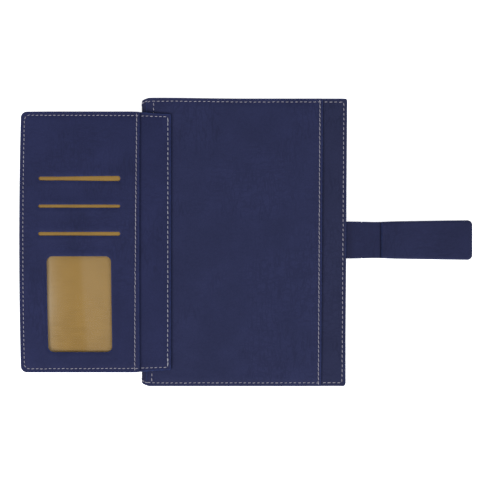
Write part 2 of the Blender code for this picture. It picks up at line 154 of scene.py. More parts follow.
# A closed sheet of leather, cloth or film. Its outline and openings are where distance(x, y)
# is zero. A grid is kept inside the line that lies one edge width in, the grid points nearest
# to that line are moved on to it, and from there the edge runs out and under in a half round:
# sideways by edge * cos(a) and up by half the thickness * sin(a), with a from 90 to -90 degrees.
# heights(x, y) gives the top and bottom; place(x, y, h) puts a point in the world. The shade
# function, when given, is 1 where painted shade darkens the finish, in a crease or beside a part
# that shades it. A crisp sheet keeps its flat shading to its edge. The outline function for the
# rubbed edge, when given, is the outline whose edge gets rubbed and a painted highlight, where
# that isn't the sheet's own.
def cutSheet(name, distance, across, along, heights, place, material, edge=0.45 * mm, steps=5,
             creased=None, crisp=False, worn=None):
    x, y = np.meshgrid(across, along, indexing="ij")
    inset = distance(x, y) + edge
    onLine = np.zeros(x.shape, bool)
    for axis in (0, 1):
        first = np.take(inset, range(inset.shape[axis] - 1), axis)
        second = np.take(inset, range(1, inset.shape[axis]), axis)
        crosses = first * second < 0
        nearFirst = crosses & (np.abs(first) <= np.abs(second))
        nearSecond = crosses & ~nearFirst
        turned = np.moveaxis(onLine, axis, 0)
        turned[:-1] |= np.moveaxis(nearFirst, axis, 0)
        turned[1:] |= np.moveaxis(nearSecond, axis, 0)
    for _ in range(4):
        outX, outY, steep = uphill(distance, x, y)
        move = np.where(onLine, (distance(x, y) + edge) / np.maximum(steep, 0.5), 0)
        x, y = x - move * outX, y - move * outY
    inside = onLine | (inset <= 0)

    index = np.arange(x.size).reshape(x.shape)
    cells = np.stack([index[:-1, :-1], index[1:, :-1], index[1:, 1:], index[:-1, 1:]], -1)
    cells = cells.reshape(-1, 4)
    kept = inside.ravel()[cells]
    quads = cells[kept.sum(1) == 4]
    threes = kept.sum(1) == 3
    triangles = cells[threes][kept[threes]].reshape(-1, 3)
    used, renumbered = np.unique(np.concatenate([quads.ravel(), triangles.ravel()]),
                                 return_inverse=True)
    quads = renumbered[:quads.size].reshape(-1, 4)
    triangles = renumbered[quads.size:].reshape(-1, 3)
    x, y = x.ravel()[used], y.ravel()[used]

    starts = np.concatenate([quads.ravel(), triangles.ravel()])
    ends = np.concatenate([np.roll(quads, -1, 1).ravel(), np.roll(triangles, -1, 1).ravel()])
    lone = ~np.isin(starts * len(x) + ends, ends * len(x) + starts)
    edgeStarts, edgeEnds = starts[lone], ends[lone]
    rim = np.unique(edgeStarts)
    rimPlace = np.zeros(len(x), int)
    rimPlace[rim] = np.arange(len(rim))

    top, bottom = heights(x, y)
    outX, outY, _ = uphill(distance, x[rim], y[rim])
    angle = math.pi / 2 - math.pi * np.arange(1, steps)[:, None] / steps
    rimX = x[rim] + outX * edge * np.cos(angle)
    rimY = y[rim] + outY * edge * np.cos(angle)
    rimH = (top[rim] + bottom[rim]) / 2 + (top[rim] - bottom[rim]) / 2 * np.sin(angle)
    allX = np.concatenate([x, x, rimX.ravel()])
    allY = np.concatenate([y, y, rimY.ravel()])
    allH = np.concatenate([top, bottom, rimH.ravel()])
    points = np.stack(place(allX, allY, allH), -1)

    count = len(x)
    ringStart, ringEnd = [
        [ends, *[2 * count + k * len(rim) + rimPlace[ends] for k in range(steps - 1)],
         ends + count] for ends in (edgeStarts, edgeEnds)]
    faces = quads.tolist() + triangles.tolist()
    faces += (quads[:, ::-1] + count).tolist() + (triangles[:, ::-1] + count).tolist()
    for k in range(steps):
        faces += np.stack([ringEnd[k], ringStart[k], ringStart[k + 1], ringEnd[k + 1]],
                          -1).tolist()
    # painted shade, carried as a point value for the finish
    crease = creased(allX, allY) if creased else np.zeros(len(allX))
    piece = meshPiece(name, points, faces, material,
                      {"edgeDistance": -(worn or distance)(allX, allY) / mm, "crease": crease})
    if crisp:
        onRim = np.zeros(len(allX), bool)
        onRim[rim] = True
        onRim[rim + count] = True
        ends = np.empty(2 * len(piece.data.edges), int)
        piece.data.edges.foreach_get("vertices", ends)
        layer = piece.data.attributes.new("sharp_edge", "BOOLEAN", "EDGE")
        layer.data.foreach_set("value", onRim[ends[::2]] & onRim[ends[1::2]])
    return piece


# A seam's route: straight runs with rounded corners. Each corner is a quadratic curve from
# one radius before the point to one radius after it.
def roundedRoute(points, radius):
    points = np.array(points)
    share = np.linspace(0, 1, 6)[:, None]
    runs = [points[:1]]
    for before, corner, after in zip(points[:-2], points[1:-1], points[2:]):
        start = corner + (before - corner) * radius / np.hypot(*(before - corner))
        end = corner + (after - corner) * radius / np.hypot(*(after - corner))
        runs.append((1 - share) ** 2 * start + 2 * share * (1 - share) * corner
                    + share ** 2 * end)
    return np.concatenate([*runs, points[-1:]])


def routeLength(route):
    return np.concatenate([[0], np.cumsum(np.hypot(*np.diff(route, axis=0).T))])


# The dip of the leather at its seams: a narrow and a wide valley along each, deeper at the
# needle holes, which lie halfway between the stitches
def seamDip(x, y, seams):
    dip = np.zeros_like(x)
    for seam in seams:
        route = seam["route"]
        along = routeLength(route)
        pitch = along[-1] / round(along[-1] / seam["pitch"])
        for start, end, before in zip(route[:-1], route[1:], along[:-1]):
            run = end - start
            length = np.hypot(*run)
            share = ((x - start[0]) * run[0] + (y - start[1]) * run[1]) / length ** 2
            nearest = np.clip(share, 0, 1)
            away = np.hypot(x - start[0] - nearest * run[0], y - start[1] - nearest * run[1])
            holes = 1 + 0.35 * np.cos(2 * math.pi * (before + nearest * length) / pitch)
            valley = 0.6 * np.exp(-(away / (0.55 * mm)) ** 2)
            valley = valley + 0.4 * np.exp(-(away / (1.8 * mm)) ** 2)
            dip = np.maximum(dip, seam["dip"] * valley * holes)
    return dip


# One stitch, lying along x: rings of a rope whose half width shrinks to almost nothing at both
# ends, and whose middle rises out of the leather while its ends go down into the needle holes
def stitchShape(length, thick, rings=8, sides=6):
    share = np.linspace(-1, 1, rings)
    turn = np.arange(sides) * 2 * math.pi / sides
    half = thick / 2 * np.sqrt(np.clip(1 - np.abs(share) ** 3, 0, 1))
    half[[0, -1]] = thick * 0.12
    x = np.repeat(share[:, None] * length / 2, sides, 1)
    y = half[:, None] * np.cos(turn + 0.9 * share[:, None])
    rise = thick * (0.30 * (1 - share ** 2) - 0.75 * share ** 6)
    z = half[:, None] * np.sin(turn + 0.9 * share[:, None]) * 0.9 + rise[:, None]
    points = np.stack([x, y, z], -1).reshape(-1, 3)
    ring = np.arange(sides)
    after = (ring + 1) % sides
    last = sides * (rings - 1)
    faces = []
    for low in range(0, last, sides):
        high = low + sides
        faces += list(np.stack([low + ring, high + ring, high + after, low + after], -1))
    return points, [*faces, ring, (ring + last)[::-1]]


# Stitches along a seam, as one mesh. surface(x, y) is the height that they lie on.
def stitchRow(name, seam, surface, place, material):
    shape, shapeFaces = stitchShape(seam["stitch"], seam["thick"])
    route = seam["route"]
    along = routeLength(route)
    count = round(along[-1] / seam["pitch"])
    middle = (np.arange(count) + 0.5) * along[-1] / count
    onRoute = lambda at: np.stack([np.interp(at, along, route[:, k]) for k in (0, 1)], -1)
    centres = onRoute(middle)
    ahead = onRoute(middle + 0.3 * seam["pitch"]) - onRoute(middle - 0.3 * seam["pitch"])
    headings = np.arctan2(ahead[:, 1], ahead[:, 0])
    headings = headings + seam.get("slant", 0.09) + chance.normal(0, 0.03, count)
    size = 1 + chance.normal(0, 0.04, count)[:, None]
    centres = centres + chance.normal(0, 0.05 * mm, centres.shape)
    cos, sin = np.cos(headings)[:, None], np.sin(headings)[:, None]
    x = centres[:, :1] + size * (shape[:, 0] * cos - shape[:, 1] * sin)
    y = centres[:, 1:] + size * (shape[:, 0] * sin + shape[:, 1] * cos)
    base = surface(centres[:, 0], centres[:, 1])[:, None]
    z = base + seam.get("side", 1) * (shape[:, 2] + seam.get("lift", 0.0))
    points = np.stack(place(x.ravel(), y.ravel(), z.ravel()), -1)
    order = -1 if seam.get("side", 1) > 0 else 1
    faces = [(face[::order] + k * len(shape)).tolist()
             for k in range(count) for face in shapeFaces]
    return meshPiece(name, points, faces, material)


# Several rows in the lilac thread: seams is a dictionary from a row's name to its seam
def sewRows(seams, surface, place):
    return [stitchRow(name, seam, surface, place, lilacThread) for name, seam in seams.items()]


# A panel of leather held down along its seams and swollen by the padding behind it, as a cloth
# simulation on a coarse grid: rows of the answer run across the panel, from 0 at the seams to 1
# at its highest.
swollen = {
    "columns": 48,
    "rows": 66,
    "held": 4 * mm,              # width of the border that doesn't move
    "frames": 20,
    "cloth": {"vertex_group_mass": "held", "quality": 6, "mass": 0.4, "tension_stiffness": 40,
              "compression_stiffness": 40, "bending_stiffness": 3, "shrink_min": -0.012,
              "use_pressure": True, "uniform_pressure_force": 4},
}


def swollenPanel(width, height):
    x, y = np.meshgrid(np.linspace(0, width, swollen["columns"]),
                       np.linspace(-height / 2, height / 2, swollen["rows"]), indexing="ij")
    start = 0.3 * mm * (np.sin(x / (9 * mm)) * np.cos(y / (13 * mm))
                        + np.sin(x / (17 * mm) + y / (7 * mm)))
    points = np.stack([x, y, start], -1).reshape(-1, 3)
    index = np.arange(x.size).reshape(x.shape)
    faces = np.stack([index[:-1, :-1], index[1:, :-1], index[1:, 1:], index[:-1, 1:]], -1)
    mesh = bpy.data.meshes.new("swelling")
    mesh.from_pydata(points.tolist(), [], faces.reshape(-1, 4).tolist())
    panel = bpy.data.objects.new("swelling", mesh)
    scene = bpy.context.scene
    scene.collection.objects.link(panel)
    inner = np.minimum(np.minimum(x, width - x), height / 2 - np.abs(y))
    held = panel.vertex_groups.new(name="held")
    held.add(np.flatnonzero(inner.ravel() < swollen["held"]).tolist(), 1.0, "REPLACE")
    cloth = panel.modifiers.new("cloth", "CLOTH")
    for key, value in swollen["cloth"].items():
        setattr(cloth.settings, key, value)
    cloth.settings.effector_weights.gravity = 0
    cloth.point_cache.frame_end = swollen["frames"]
    for frameNumber in range(1, swollen["frames"] + 1):
        scene.frame_set(frameNumber)
    result = panel.evaluated_get(bpy.context.evaluated_depsgraph_get()).to_mesh()
    settled = np.empty(3 * x.size)
    result.vertices.foreach_get("co", settled)
    bpy.data.objects.remove(panel)
    scene.frame_set(1)
    rise = np.clip(settled[2::3].reshape(x.shape), 0, None)
    return rise / max(rise.max(), 1e-9)


# Value of a coarse grid at shares (a, b) of its two sides, by a smooth cubic through its points
def smoothSample(grid, a, b):
    total = np.zeros_like(a)
    placeA, placeB = a * (grid.shape[0] - 1), b * (grid.shape[1] - 1)
    lowA, lowB = np.floor(placeA).astype(int), np.floor(placeB).astype(int)

    def weight(gap):
        gap = np.abs(gap)
        near = 1.5 * gap ** 3 - 2.5 * gap ** 2 + 1
        far = -0.5 * gap ** 3 + 2.5 * gap ** 2 - 4 * gap + 2
        return np.where(gap < 1, near, np.where(gap < 2, far, 0))

    for stepA in range(-1, 3):
        rowA = np.clip(lowA + stepA, 0, grid.shape[0] - 1)
        for stepB in range(-1, 3):
            rowB = np.clip(lowB + stepB, 0, grid.shape[1] - 1)
            total += (weight(placeA - lowA - stepA) * weight(placeB - lowB - stepB)
                      * grid[rowA, rowB])
    return total


swelling = swollenPanel(coverWidth, 2 * coverHalf)


# Swelling of a cover panel at (u, y), from 0 at its seams to 1
def swell(u, y):
    return smoothSample(swelling, np.clip(u / coverWidth, 0, 1),
                        np.clip(0.5 + y / (2 * coverHalf), 0, 1))


def fitPiece(piece, body, slotName, *nodes):
    if isinstance(body, tuple):
        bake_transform(piece)
    else:
        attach(piece, body)
    if nodes:
        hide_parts(*nodes)


print("places and tools ready, panel swollen")


# ---- finishes

def newNodes(name):
    material = bpy.data.materials.new(name)
    material.use_nodes = True
    return material, material.node_tree, material.node_tree.nodes["Principled BSDF"]


def addNode(tree, kind, **settings):
    node = tree.nodes.new(kind)
    for key, value in settings.items():
        setattr(node, key, value)
    return node


# A node's inputs: another node's output is linked, anything else is set as the value
def setInputs(tree, node, values):
    for key, value in values.items():
        if isinstance(value, bpy.types.NodeSocket):
            tree.links.new(value, node.inputs[key])
        else:
            node.inputs[key].default_value = value


# A new material, with the object's own coordinates for its patterns
def newFinish(name):
    material, tree, shader = newNodes(name)
    return material, tree, shader, addNode(tree, "ShaderNodeTexCoord").outputs["Object"]


# A number that each point of a piece carries
def pointValue(tree, name):
    return addNode(tree, "ShaderNodeAttribute", attribute_name=name).outputs["Fac"]


def bumpNode(tree, height, strength, distance):
    node = addNode(tree, "ShaderNodeBump")
    setInputs(tree, node, {"Height": height, "Strength": strength, "Distance": distance})
    return node.outputs["Normal"]


def mathNode(tree, operation, *values):
    node = addNode(tree, "ShaderNodeMath", operation=operation)
    setInputs(tree, node, dict(enumerate(values)))
    return node.outputs[0]


# The weighted sum of two values
def sumNode(tree, first, share, second, otherShare):
    return mathNode(tree, "ADD", mathNode(tree, "MULTIPLY", first, share),
                    mathNode(tree, "MULTIPLY", second, otherShare))


def rangeNode(tree, value, fromLow, fromHigh, toLow, toHigh, kind="SMOOTHSTEP"):
    node = addNode(tree, "ShaderNodeMapRange", interpolation_type=kind)
    setInputs(tree, node, {"Value": value, "From Min": fromLow, "From Max": fromHigh,
                           "To Min": toLow, "To Max": toHigh})
    return node.outputs["Result"]


def mixColour(tree, share, *colours):
    node = addNode(tree, "ShaderNodeMix", data_type="RGBA")
    first, second = [(*colour, 1) if isinstance(colour, tuple) else colour for colour in colours]
    setInputs(tree, node, {"Factor": share, "A": first, "B": second})
    return node.outputs["Result"]


def noiseNode(tree, point, scale, detail=2.0, roughness=0.5, stretch=None):
    if stretch:
        mapping = addNode(tree, "ShaderNodeMapping")
        setInputs(tree, mapping, {"Vector": point, "Scale": stretch})
        point = mapping.outputs[0]
    node = addNode(tree, "ShaderNodeTexNoise")
    setInputs(tree, node, {"Vector": point, "Scale": scale, "Detail": detail,
                           "Roughness": roughness})
    return node.outputs["Fac"]


# Leather grain. Height is small domed pebbles less crease lines; the lines lie between larger
# cells, and in patches they are long wrinkles (where a stretched noise passes its middle value).
# Tone is a slow cloud plus the domes, and Valley is the crease lines, which the finish also
# darkens in colour as painted shade.
def buildLeatherGrain():
    group = bpy.data.node_groups.new("leatherGrain", "ShaderNodeTree")
    face = group.interface
    face.new_socket("Point", in_out="INPUT", socket_type="NodeSocketVector")
    face.new_socket("Grains per metre", in_out="INPUT", socket_type="NodeSocketFloat")
    for name in ("Height", "Tone", "Valley"):
        face.new_socket(name, in_out="OUTPUT", socket_type="NodeSocketFloat")
    start, end = addNode(group, "NodeGroupInput"), addNode(group, "NodeGroupOutput")
    point, density = start.outputs["Point"], start.outputs["Grains per metre"]

    wander = addNode(group, "ShaderNodeTexNoise")
    setInputs(group, wander, {"Vector": point, "Scale": 260, "Detail": 2})
    shift = addNode(group, "ShaderNodeVectorMath", operation="SCALE")
    setInputs(group, shift, {0: wander.outputs["Color"], "Scale": 0.0022})
    bent = addNode(group, "ShaderNodeVectorMath", operation="ADD")
    setInputs(group, bent, {0: point, 1: shift.outputs[0]})

    pebble = addNode(group, "ShaderNodeTexVoronoi", feature="SMOOTH_F1")
    setInputs(group, pebble, {"Vector": bent.outputs[0], "Scale": density, "Smoothness": 0.35})
    dome = rangeNode(group, pebble.outputs["Distance"], 0.1, 0.75, 1, 0)

    crease = addNode(group, "ShaderNodeTexVoronoi", feature="DISTANCE_TO_EDGE")
    setInputs(group, crease, {"Vector": bent.outputs[0],
                              "Scale": mathNode(group, "MULTIPLY", density, 0.32)})
    valley = rangeNode(group, crease.outputs["Distance"], 0.0, 0.10, 1, 0)

    cloud = noiseNode(group, point, 26, 3, 0.6)
    wrinkles = []
    for stretch, patch in (((1.0, 0.22, 1.0), 31), ((0.30, 1.0, 1.0), 23)):
        line = noiseNode(group, point, 330, 2, 0.5, stretch)
        ridge = mathNode(group, "ABSOLUTE", mathNode(group, "SUBTRACT", line, 0.5))
        ridge = rangeNode(group, ridge, 0.0, 0.07, 1, 0)
        where = rangeNode(group, noiseNode(group, point, patch, 1), 0.45, 0.62, 0.1, 1)
        wrinkles.append(mathNode(group, "MULTIPLY", ridge, where))
    wrinkle = mathNode(group, "MAXIMUM", wrinkles[0], mathNode(group, "MULTIPLY", wrinkles[1], 0.8))
    valley = mathNode(group, "MAXIMUM", mathNode(group, "MULTIPLY", valley, 0.45), wrinkle)

    height = sumNode(group, dome, 0.42, valley, -0.60)
    tone = sumNode(group, rangeNode(group, cloud, 0.3, 0.7, 0, 0.75), 1, dome, 0.25)
    setInputs(group, end, {"Height": height, "Tone": tone, "Valley": valley})
    return group


# Rubbed edge, partly real wear and partly a painted highlight: 1 at the outline, falling to 0
# inside, broken up by a noise
def buildRubbedEdgeAndHighlight():
    group = bpy.data.node_groups.new("rubbedEdge", "ShaderNodeTree")
    group.interface.new_socket("Point", in_out="INPUT", socket_type="NodeSocketVector")
    group.interface.new_socket("Wear", in_out="OUTPUT", socket_type="NodeSocketFloat")
    start, end = addNode(group, "NodeGroupInput"), addNode(group, "NodeGroupOutput")
    near = rangeNode(group, pointValue(group, "edgeDistance"), 0.1, 0.9, 1, 0)
    broken = rangeNode(group, noiseNode(group, start.outputs["Point"], 420, 2), 0.35, 0.65, 0.3, 1)
    setInputs(group, end, {"Wear": mathNode(group, "MULTIPLY", near, broken)})
    return group


leatherGrain = buildLeatherGrain()
rubbedEdge = buildRubbedEdgeAndHighlight()


def leatherFinish(name, look):
    material, tree, shader, coordinates = newFinish(name)
    grain = addNode(tree, "ShaderNodeGroup", node_tree=leatherGrain)
    setInputs(tree, grain, {"Point": coordinates, "Grains per metre": look["grains"]})
    wear = addNode(tree, "ShaderNodeGroup", node_tree=rubbedEdge)
    setInputs(tree, wear, {"Point": coordinates})
    # Painted shade: the grain's crease lines and the piece's painted shade value darken the colour
    # towards the crease colour
    lines = mathNode(tree, "MULTIPLY", grain.outputs["Valley"], 0.30)
    creased = mathNode(tree, "MAXIMUM", lines, pointValue(tree, "crease"))
    # Rubbed edge, partly real wear and partly a painted highlight: a paler blue towards the outline
    rubbed = mathNode(tree, "MULTIPLY", wear.outputs["Wear"], look["wear"])
    colour = mixColour(tree, grain.outputs["Tone"], look["dark"], look["light"])
    colour = mixColour(tree, creased, colour, look["crease"])
    height = grain.outputs["Height"]
    setInputs(tree, shader, {
        "Base Color": mixColour(tree, rubbed, colour, look["rubbed"]),
        "Roughness": rangeNode(tree, height, -0.3, 0.8, look["rough"] + 0.10,
                               look["rough"] - 0.05, "LINEAR"),
        "Normal": bumpNode(tree, height, look["bump"], 0.16 * mm),
        "Specular IOR Level": look["gloss"]})
    return material


# The crease colour is painted shade, laid into creases and shaded places
navyLook = {"grains": 1050, "dark": (0.0112, 0.0146, 0.052), "light": (0.0164, 0.0205, 0.069),
            # the rubbed colour is a paler blue for the edges, partly real wear and partly a painted
            # highlight
            "crease": (0.004, 0.005, 0.022), "rubbed": (0.016, 0.032, 0.125), "wear": 0.7,
            "rough": 0.58, "bump": 0.6, "gloss": 0.16}


# The navy look with its colours scaled by a factor: a darker copy is painted shade, the same
# leather shown as if it took less light
def shadedNavy(tone):
    return {**navyLook, **{key: tuple(np.multiply(navyLook[key], tone).tolist())
                           for key in ("dark", "light")}}


navyLeather = leatherFinish("navyLeather", navyLook)
# Leaf and strap: the navy leather with painted shade, darker copies of its colour
leafLeather = leatherFinish("leafLeather", shadedNavy((0.86, 0.88, 0.98)))
strapLeather = leatherFinish("strapLeather", shadedNavy((0.82, 0.83, 0.86)))
liningLeather = leatherFinish("liningLeather", {
    **navyLook, "grains": 1250, "dark": (0.0120, 0.0150, 0.048),
    "light": (0.0155, 0.0190, 0.058), "rough": 0.60, "bump": 0.5})


# Satin lining: two crossed sets of fine threads, with soft clouds, and a painted sheen that makes
# it paler where that point value is high
def satinFinish(name, dark, light):
    material, tree, shader, coordinates = newFinish(name)
    warp = noiseNode(tree, coordinates, 1500, 1, 0.5, (1.0, 0.08, 1.0))
    weft = noiseNode(tree, coordinates, 1500, 1, 0.5, (0.06, 1.0, 1.0))
    weave = sumNode(tree, warp, 0.3, weft, 0.7)
    cloud = rangeNode(tree, noiseNode(tree, coordinates, 38, 3, 0.6), 0.3, 0.7, 0, 1)
    share = sumNode(tree, cloud, 0.6, rangeNode(tree, weave, 0.35, 0.65, 0, 0.6), 1)
    setInputs(tree, shader, {
        # Painted sheen: the colour mixes towards a pale cream
        "Base Color": mixColour(tree, pointValue(tree, "sheen"),
                                mixColour(tree, share, dark, light), (0.84, 0.78, 0.66)),
        "Roughness": rangeNode(tree, weave, 0.3, 0.7, 0.62, 0.52),
        "Normal": bumpNode(tree, weave, 0.15, 0.05 * mm), "Specular IOR Level": 0.25})
    return material


goldSatin = satinFinish("goldSatin", (0.206, 0.118, 0.024), (0.252, 0.148, 0.033))


# Clear vinyl: nearly see-through, with painted reflections, pale upright streaks where its painted
# reflection value is high, and a fine ripple that breaks up what it mirrors
def filmFinish(name):
    material, tree, shader, coordinates = newFinish(name)
    streak = rangeNode(tree, noiseNode(tree, coordinates, 130, 3, 0.6, (1.0, 0.16, 1.0)),
                       0.35, 0.70, 0.6, 1)
    # Painted reflection: the streaks show as pale colour and more opacity
    reflectionMask = mathNode(tree, "MULTIPLY", streak, pointValue(tree, "haze"))
    ripple = noiseNode(tree, coordinates, 90, 2, 0.5, (1.0, 0.35, 1.0))
    setInputs(tree, shader, {
        "Base Color": (0.84, 0.83, 0.80, 1),
        "Alpha": rangeNode(tree, reflectionMask, 0, 1, 0.004, 0.12, "LINEAR"),
        "Roughness": rangeNode(tree, reflectionMask, 0, 1, 0.06, 0.25),
        "Normal": bumpNode(tree, ripple, 0.5, 0.8 * mm), "Specular IOR Level": 0.9,
        "Coat Weight": 0.6, "Coat Roughness": 0.05})
    return material


clearFilm = filmFinish("clearFilm")


# Twisted thread: slanting bands across the run, lighter on the crown of each ply
def threadFinish(name, dark, light):
    material, tree, shader, coordinates = newFinish(name)
    wave = addNode(tree, "ShaderNodeTexWave", bands_direction="DIAGONAL")
    setInputs(tree, wave, {"Vector": coordinates, "Scale": 900, "Distortion": 0.6})
    share = sumNode(tree, wave.outputs["Fac"], 0.6, noiseNode(tree, coordinates, 2600, 2), 0.4)
    setInputs(tree, shader, {
        "Base Color": mixColour(tree, share, dark, light), "Roughness": 0.65,
        "Normal": bumpNode(tree, share, 0.5, 0.08 * mm), "Specular IOR Level": 0.2})
    return material


lilacThread = threadFinish("lilacThread", (0.20, 0.19, 0.24), (0.40, 0.38, 0.44))
paleThread = threadFinish("paleThread", (0.20, 0.20, 0.25), (0.41, 0.41, 0.47))


# Pieces that are shut inside get a plain but worked surface: fibres, pores or plating
def innerFinish(name, dark, light, scale, rough, metallic=0.0, stretch=None):
    material, tree, shader, coordinates = newFinish(name)
    speck = noiseNode(tree, coordinates, scale, 4, 0.65, stretch)
    setInputs(tree, shader, {
        "Base Color": mixColour(tree, speck, dark, light), "Metallic": metallic,
        "Roughness": rangeNode(tree, speck, 0.3, 0.7, rough + 0.08, rough - 0.08),
        "Normal": bumpNode(tree, speck, 0.4, 0.1 * mm)})
    return material


greyBoard = innerFinish("greyBoard", (0.24, 0.22, 0.19), (0.38, 0.36, 0.32), 700, 0.85)
paddingFoam = innerFinish("paddingFoam", (0.55, 0.53, 0.46), (0.78, 0.76, 0.68), 1500, 0.9)
blackPlastic = innerFinish("blackPlastic", (0.03, 0.03, 0.035), (0.06, 0.06, 0.07), 300, 0.5)
platedSteel = innerFinish("platedSteel", (0.50, 0.50, 0.52), (0.68, 0.68, 0.70), 400, 0.3,
                          1.0, (1.0, 0.08, 1.0))
for node, finish in {"back_cover_board": greyBoard, "front_cover_board": greyBoard,
                     "strap_stiffener": blackPlastic, "strap_magnet": platedSteel,
                     "catch_plate": platedSteel}.items():
    data = frame["nodes"][node].data
    data.materials.clear()
    data.materials.append(finish)

print("finishes ready")


# ---- covers

cover = {
    "foldBulge": 0.55 * mm,
    "foldDrop": 4.8 * mm,        # how much shorter each end of the sheets is at the spine
    "foldDropReach": 5.2 * mm,   # the drop starts and ends this far from the fold line
    "corner": 1.6 * mm,
    "edgeSeam": 2.5 * mm,        # edge to the seam that goes round the cover
    "spineSeam": 6.4 * mm,       # fold line to the seam beside the spine
    "spineSeamSlant": 0.65 * mm,
    "hemSeam": 2.1 * mm,         # pocket mouth to its hem seam
    "lean": 0.7 * mm,            # how far the free edge leans out at the top and in at the bottom
    "drawIn": 0.5 * mm,          # how far the free edge is drawn in by its turned edge
    "topDraw": 0.6 * mm,         # how far the top edge is drawn in beyond the spine
    "ease": 0.10 * mm,           # slow unevenness of the panels
    "swell": 0.35 * mm,          # how much the padding swells the outer skins in their middle
    "pocketSwell": 0.20 * mm,
    "skinThick": 0.8 * mm,
}


# Slow unevenness of a lying panel: a sum of three long waves
def unevenness(x, y):
    return (np.sin(x / (31 * mm) + 1.3) * np.cos(y / (43 * mm) + 0.4)
            + 0.6 * np.sin(x / (17 * mm) - y / (38 * mm) + 2.1)
            + 0.4 * np.cos(x / (11 * mm) + y / (23 * mm)))


# A cover sheet is flat at its own level from the free edge to the fold, goes round a quarter
# circle of the given radius about (centre, -centre), and runs along the spine to its middle.
# s is the distance along it from the start of the quarter circle, and h the height above it.
# The whole fold stands out a little further than that.
def overFold(centre, radius):
    def path(s, h):
        angle = np.clip(-s / radius, 0, math.pi / 2)
        down = np.maximum(-s - radius * math.pi / 2, 0)
        out = np.maximum(s, 0)
        bulge = cover["foldBulge"] * smoothStep(-s, -3 * mm, 1 * mm)
        u = centre + out - (radius + h) * np.sin(angle) - bulge
        v = -centre + (radius + h) * np.cos(angle) - down
        return u, v
    return path


# The outline isn't quite a rectangle: the free edge leans, and the top edge is drawn in
def outOfTrue(u, y):
    share = u / coverWidth
    drawn = cover["topDraw"] * smoothStep(u, 10 * mm, 75 * mm) * np.maximum(y, 0) / coverHalf
    return u + (cover["lean"] * y / coverHalf - cover["drawIn"]) * share, y - drawn


def backPlace(path):
    def place(s, y, h):
        u, v = path(s, h)
        u, y = outOfTrue(u, y)
        return foldX + u, y, upperFoldZ + v
    return place


def frontPlace(path):
    def place(s, y, h):
        u, v = path(s, h)
        return foldX + u * (1 - cover["drawIn"] / coverWidth), -y, lowerFoldZ - v
    return place


flatPath = lambda s, h: (s, h)
liningLevel = (liningLow + liningTop) / 2
liningPath = overFold(0.0, liningLevel)
skinCentre, skinRadius = 1.2 * mm, 1.2 * mm - liningLevel
skinPath = overFold(skinCentre, skinRadius)


# How far the ends of a sheet are drawn in near the fold: half a cosine wave in s, whose start
# is held back so that the corner looks round
def foldDrop(s):
    near = np.clip(0.5 - s / (2 * cover["foldDropReach"]), 0, 1) ** 1.35
    return cover["foldDrop"] * (0.5 - 0.5 * np.cos(math.pi * near))


# Signed distance of a cover sheet in (s, y): a long panel whose ends are drawn in at the fold
def coverDistance(lowS, highS, lowCorner=0.5 * mm, highCorner=cover["corner"]):
    def distance(s, y):
        even = y * coverHalf / (coverHalf - foldDrop(s))
        return panelDistance(s, even, lowS, highS, -coverHalf, coverHalf, lowCorner, highCorner)
    return distance


# Seams of a cover, in (u, y) measured from its fold line
seamV = coverHalf - cover["edgeSeam"]
seamU = coverWidth - cover["edgeSeam"]
fineSeam = {"pitch": 3.3 * mm, "stitch": 2.35 * mm, "thick": 0.50 * mm, "dip": 0.20 * mm}
longSeam = {"pitch": 3.5 * mm, "stitch": 2.6 * mm, "thick": 0.52 * mm, "dip": 0.20 * mm}
ropeSeam = {"pitch": 3.3 * mm, "stitch": 3.5 * mm, "thick": 0.50 * mm, "dip": 0.20 * mm,
            "slant": 0.14}


coverAlong = rimmedLines(-coverHalf, coverHalf, 0.85 * mm, 0.4 * mm, [-seamV, seamV])


def coverGrid(lowS, highS, seams, fine=0.4 * mm):
    return rimmedLines(lowS, highS, 1.5 * mm, fine, seams), coverAlong


# The padded side: the skin drops from the sewn edge to the full depth over the foam, and
# rises again towards the fold
def skinBelly(u, y):
    inner = np.minimum(coverWidth - u, coverHalf - np.abs(y))
    belly = smoothStep(inner, 0.6 * mm, 7.5 * mm) * smoothStep(u, 1.5 * mm, 8.5 * mm)
    depth = -skinLow - liningLevel - cover["skinThick"] / 2
    waves = 0.04 * mm * (unevenness(u, y) - 2)
    return -(depth - cover["swell"] * (1 - swell(u, y)) + waves) * belly


strapLow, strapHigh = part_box("strap_riser")
strapMiddle = (strapLow[1] + strapHigh[1]) / 2
strapHalf = (strapHigh[1] - strapLow[1]) / 2


# An outer skin and the stitches that go round it. The back one gives way to the strap's tail.
def makeSkin(side, placer, strapSide):
    seamFrom, seamTo = 9 * mm - skinCentre, seamU - skinCentre
    seam = {**fineSeam, "dip": 0.25 * mm, "side": -1, "route": roundedRoute([
        (seamFrom, seamV), (seamTo, seamV), (seamTo, -seamV), (seamFrom, -seamV)], 2 * mm)}

    def heights(s, y):
        u = s + skinCentre
        level = skinBelly(u, y) + seamDip(s, y, [seam]) * (u > 8 * mm)
        if strapSide:
            beside = 1 - smoothStep(np.abs(y - strapMiddle), strapHalf + 0.5 * mm,
                                    strapHalf + 5 * mm)
            atEdge = smoothStep(u, coverWidth - 10 * mm, coverWidth - 6 * mm)
            level = np.minimum(level, -1.15 * mm * beside * atEdge)
        return level + cover["skinThick"] / 2, level - cover["skinThick"] / 2

    edge = 0.4 * mm
    lowS = -(skinRadius * math.pi / 2 + spineWidth / 2 - skinCentre) - edge
    highS = coverWidth - skinCentre
    grid = coverGrid(lowS, highS, [highS - cover["edgeSeam"], 0.0, -1.0 * mm, 1.5 * mm])
    piece = cutSheet(side + "_skin_leather", coverDistance(lowS, highS), *grid, heights,
                     placer(skinPath), navyLeather, edge)
    return piece, *sewRows({side + "_skin_stitches": seam}, lambda s, y: heights(s, y)[1],
                           placer(skinPath))


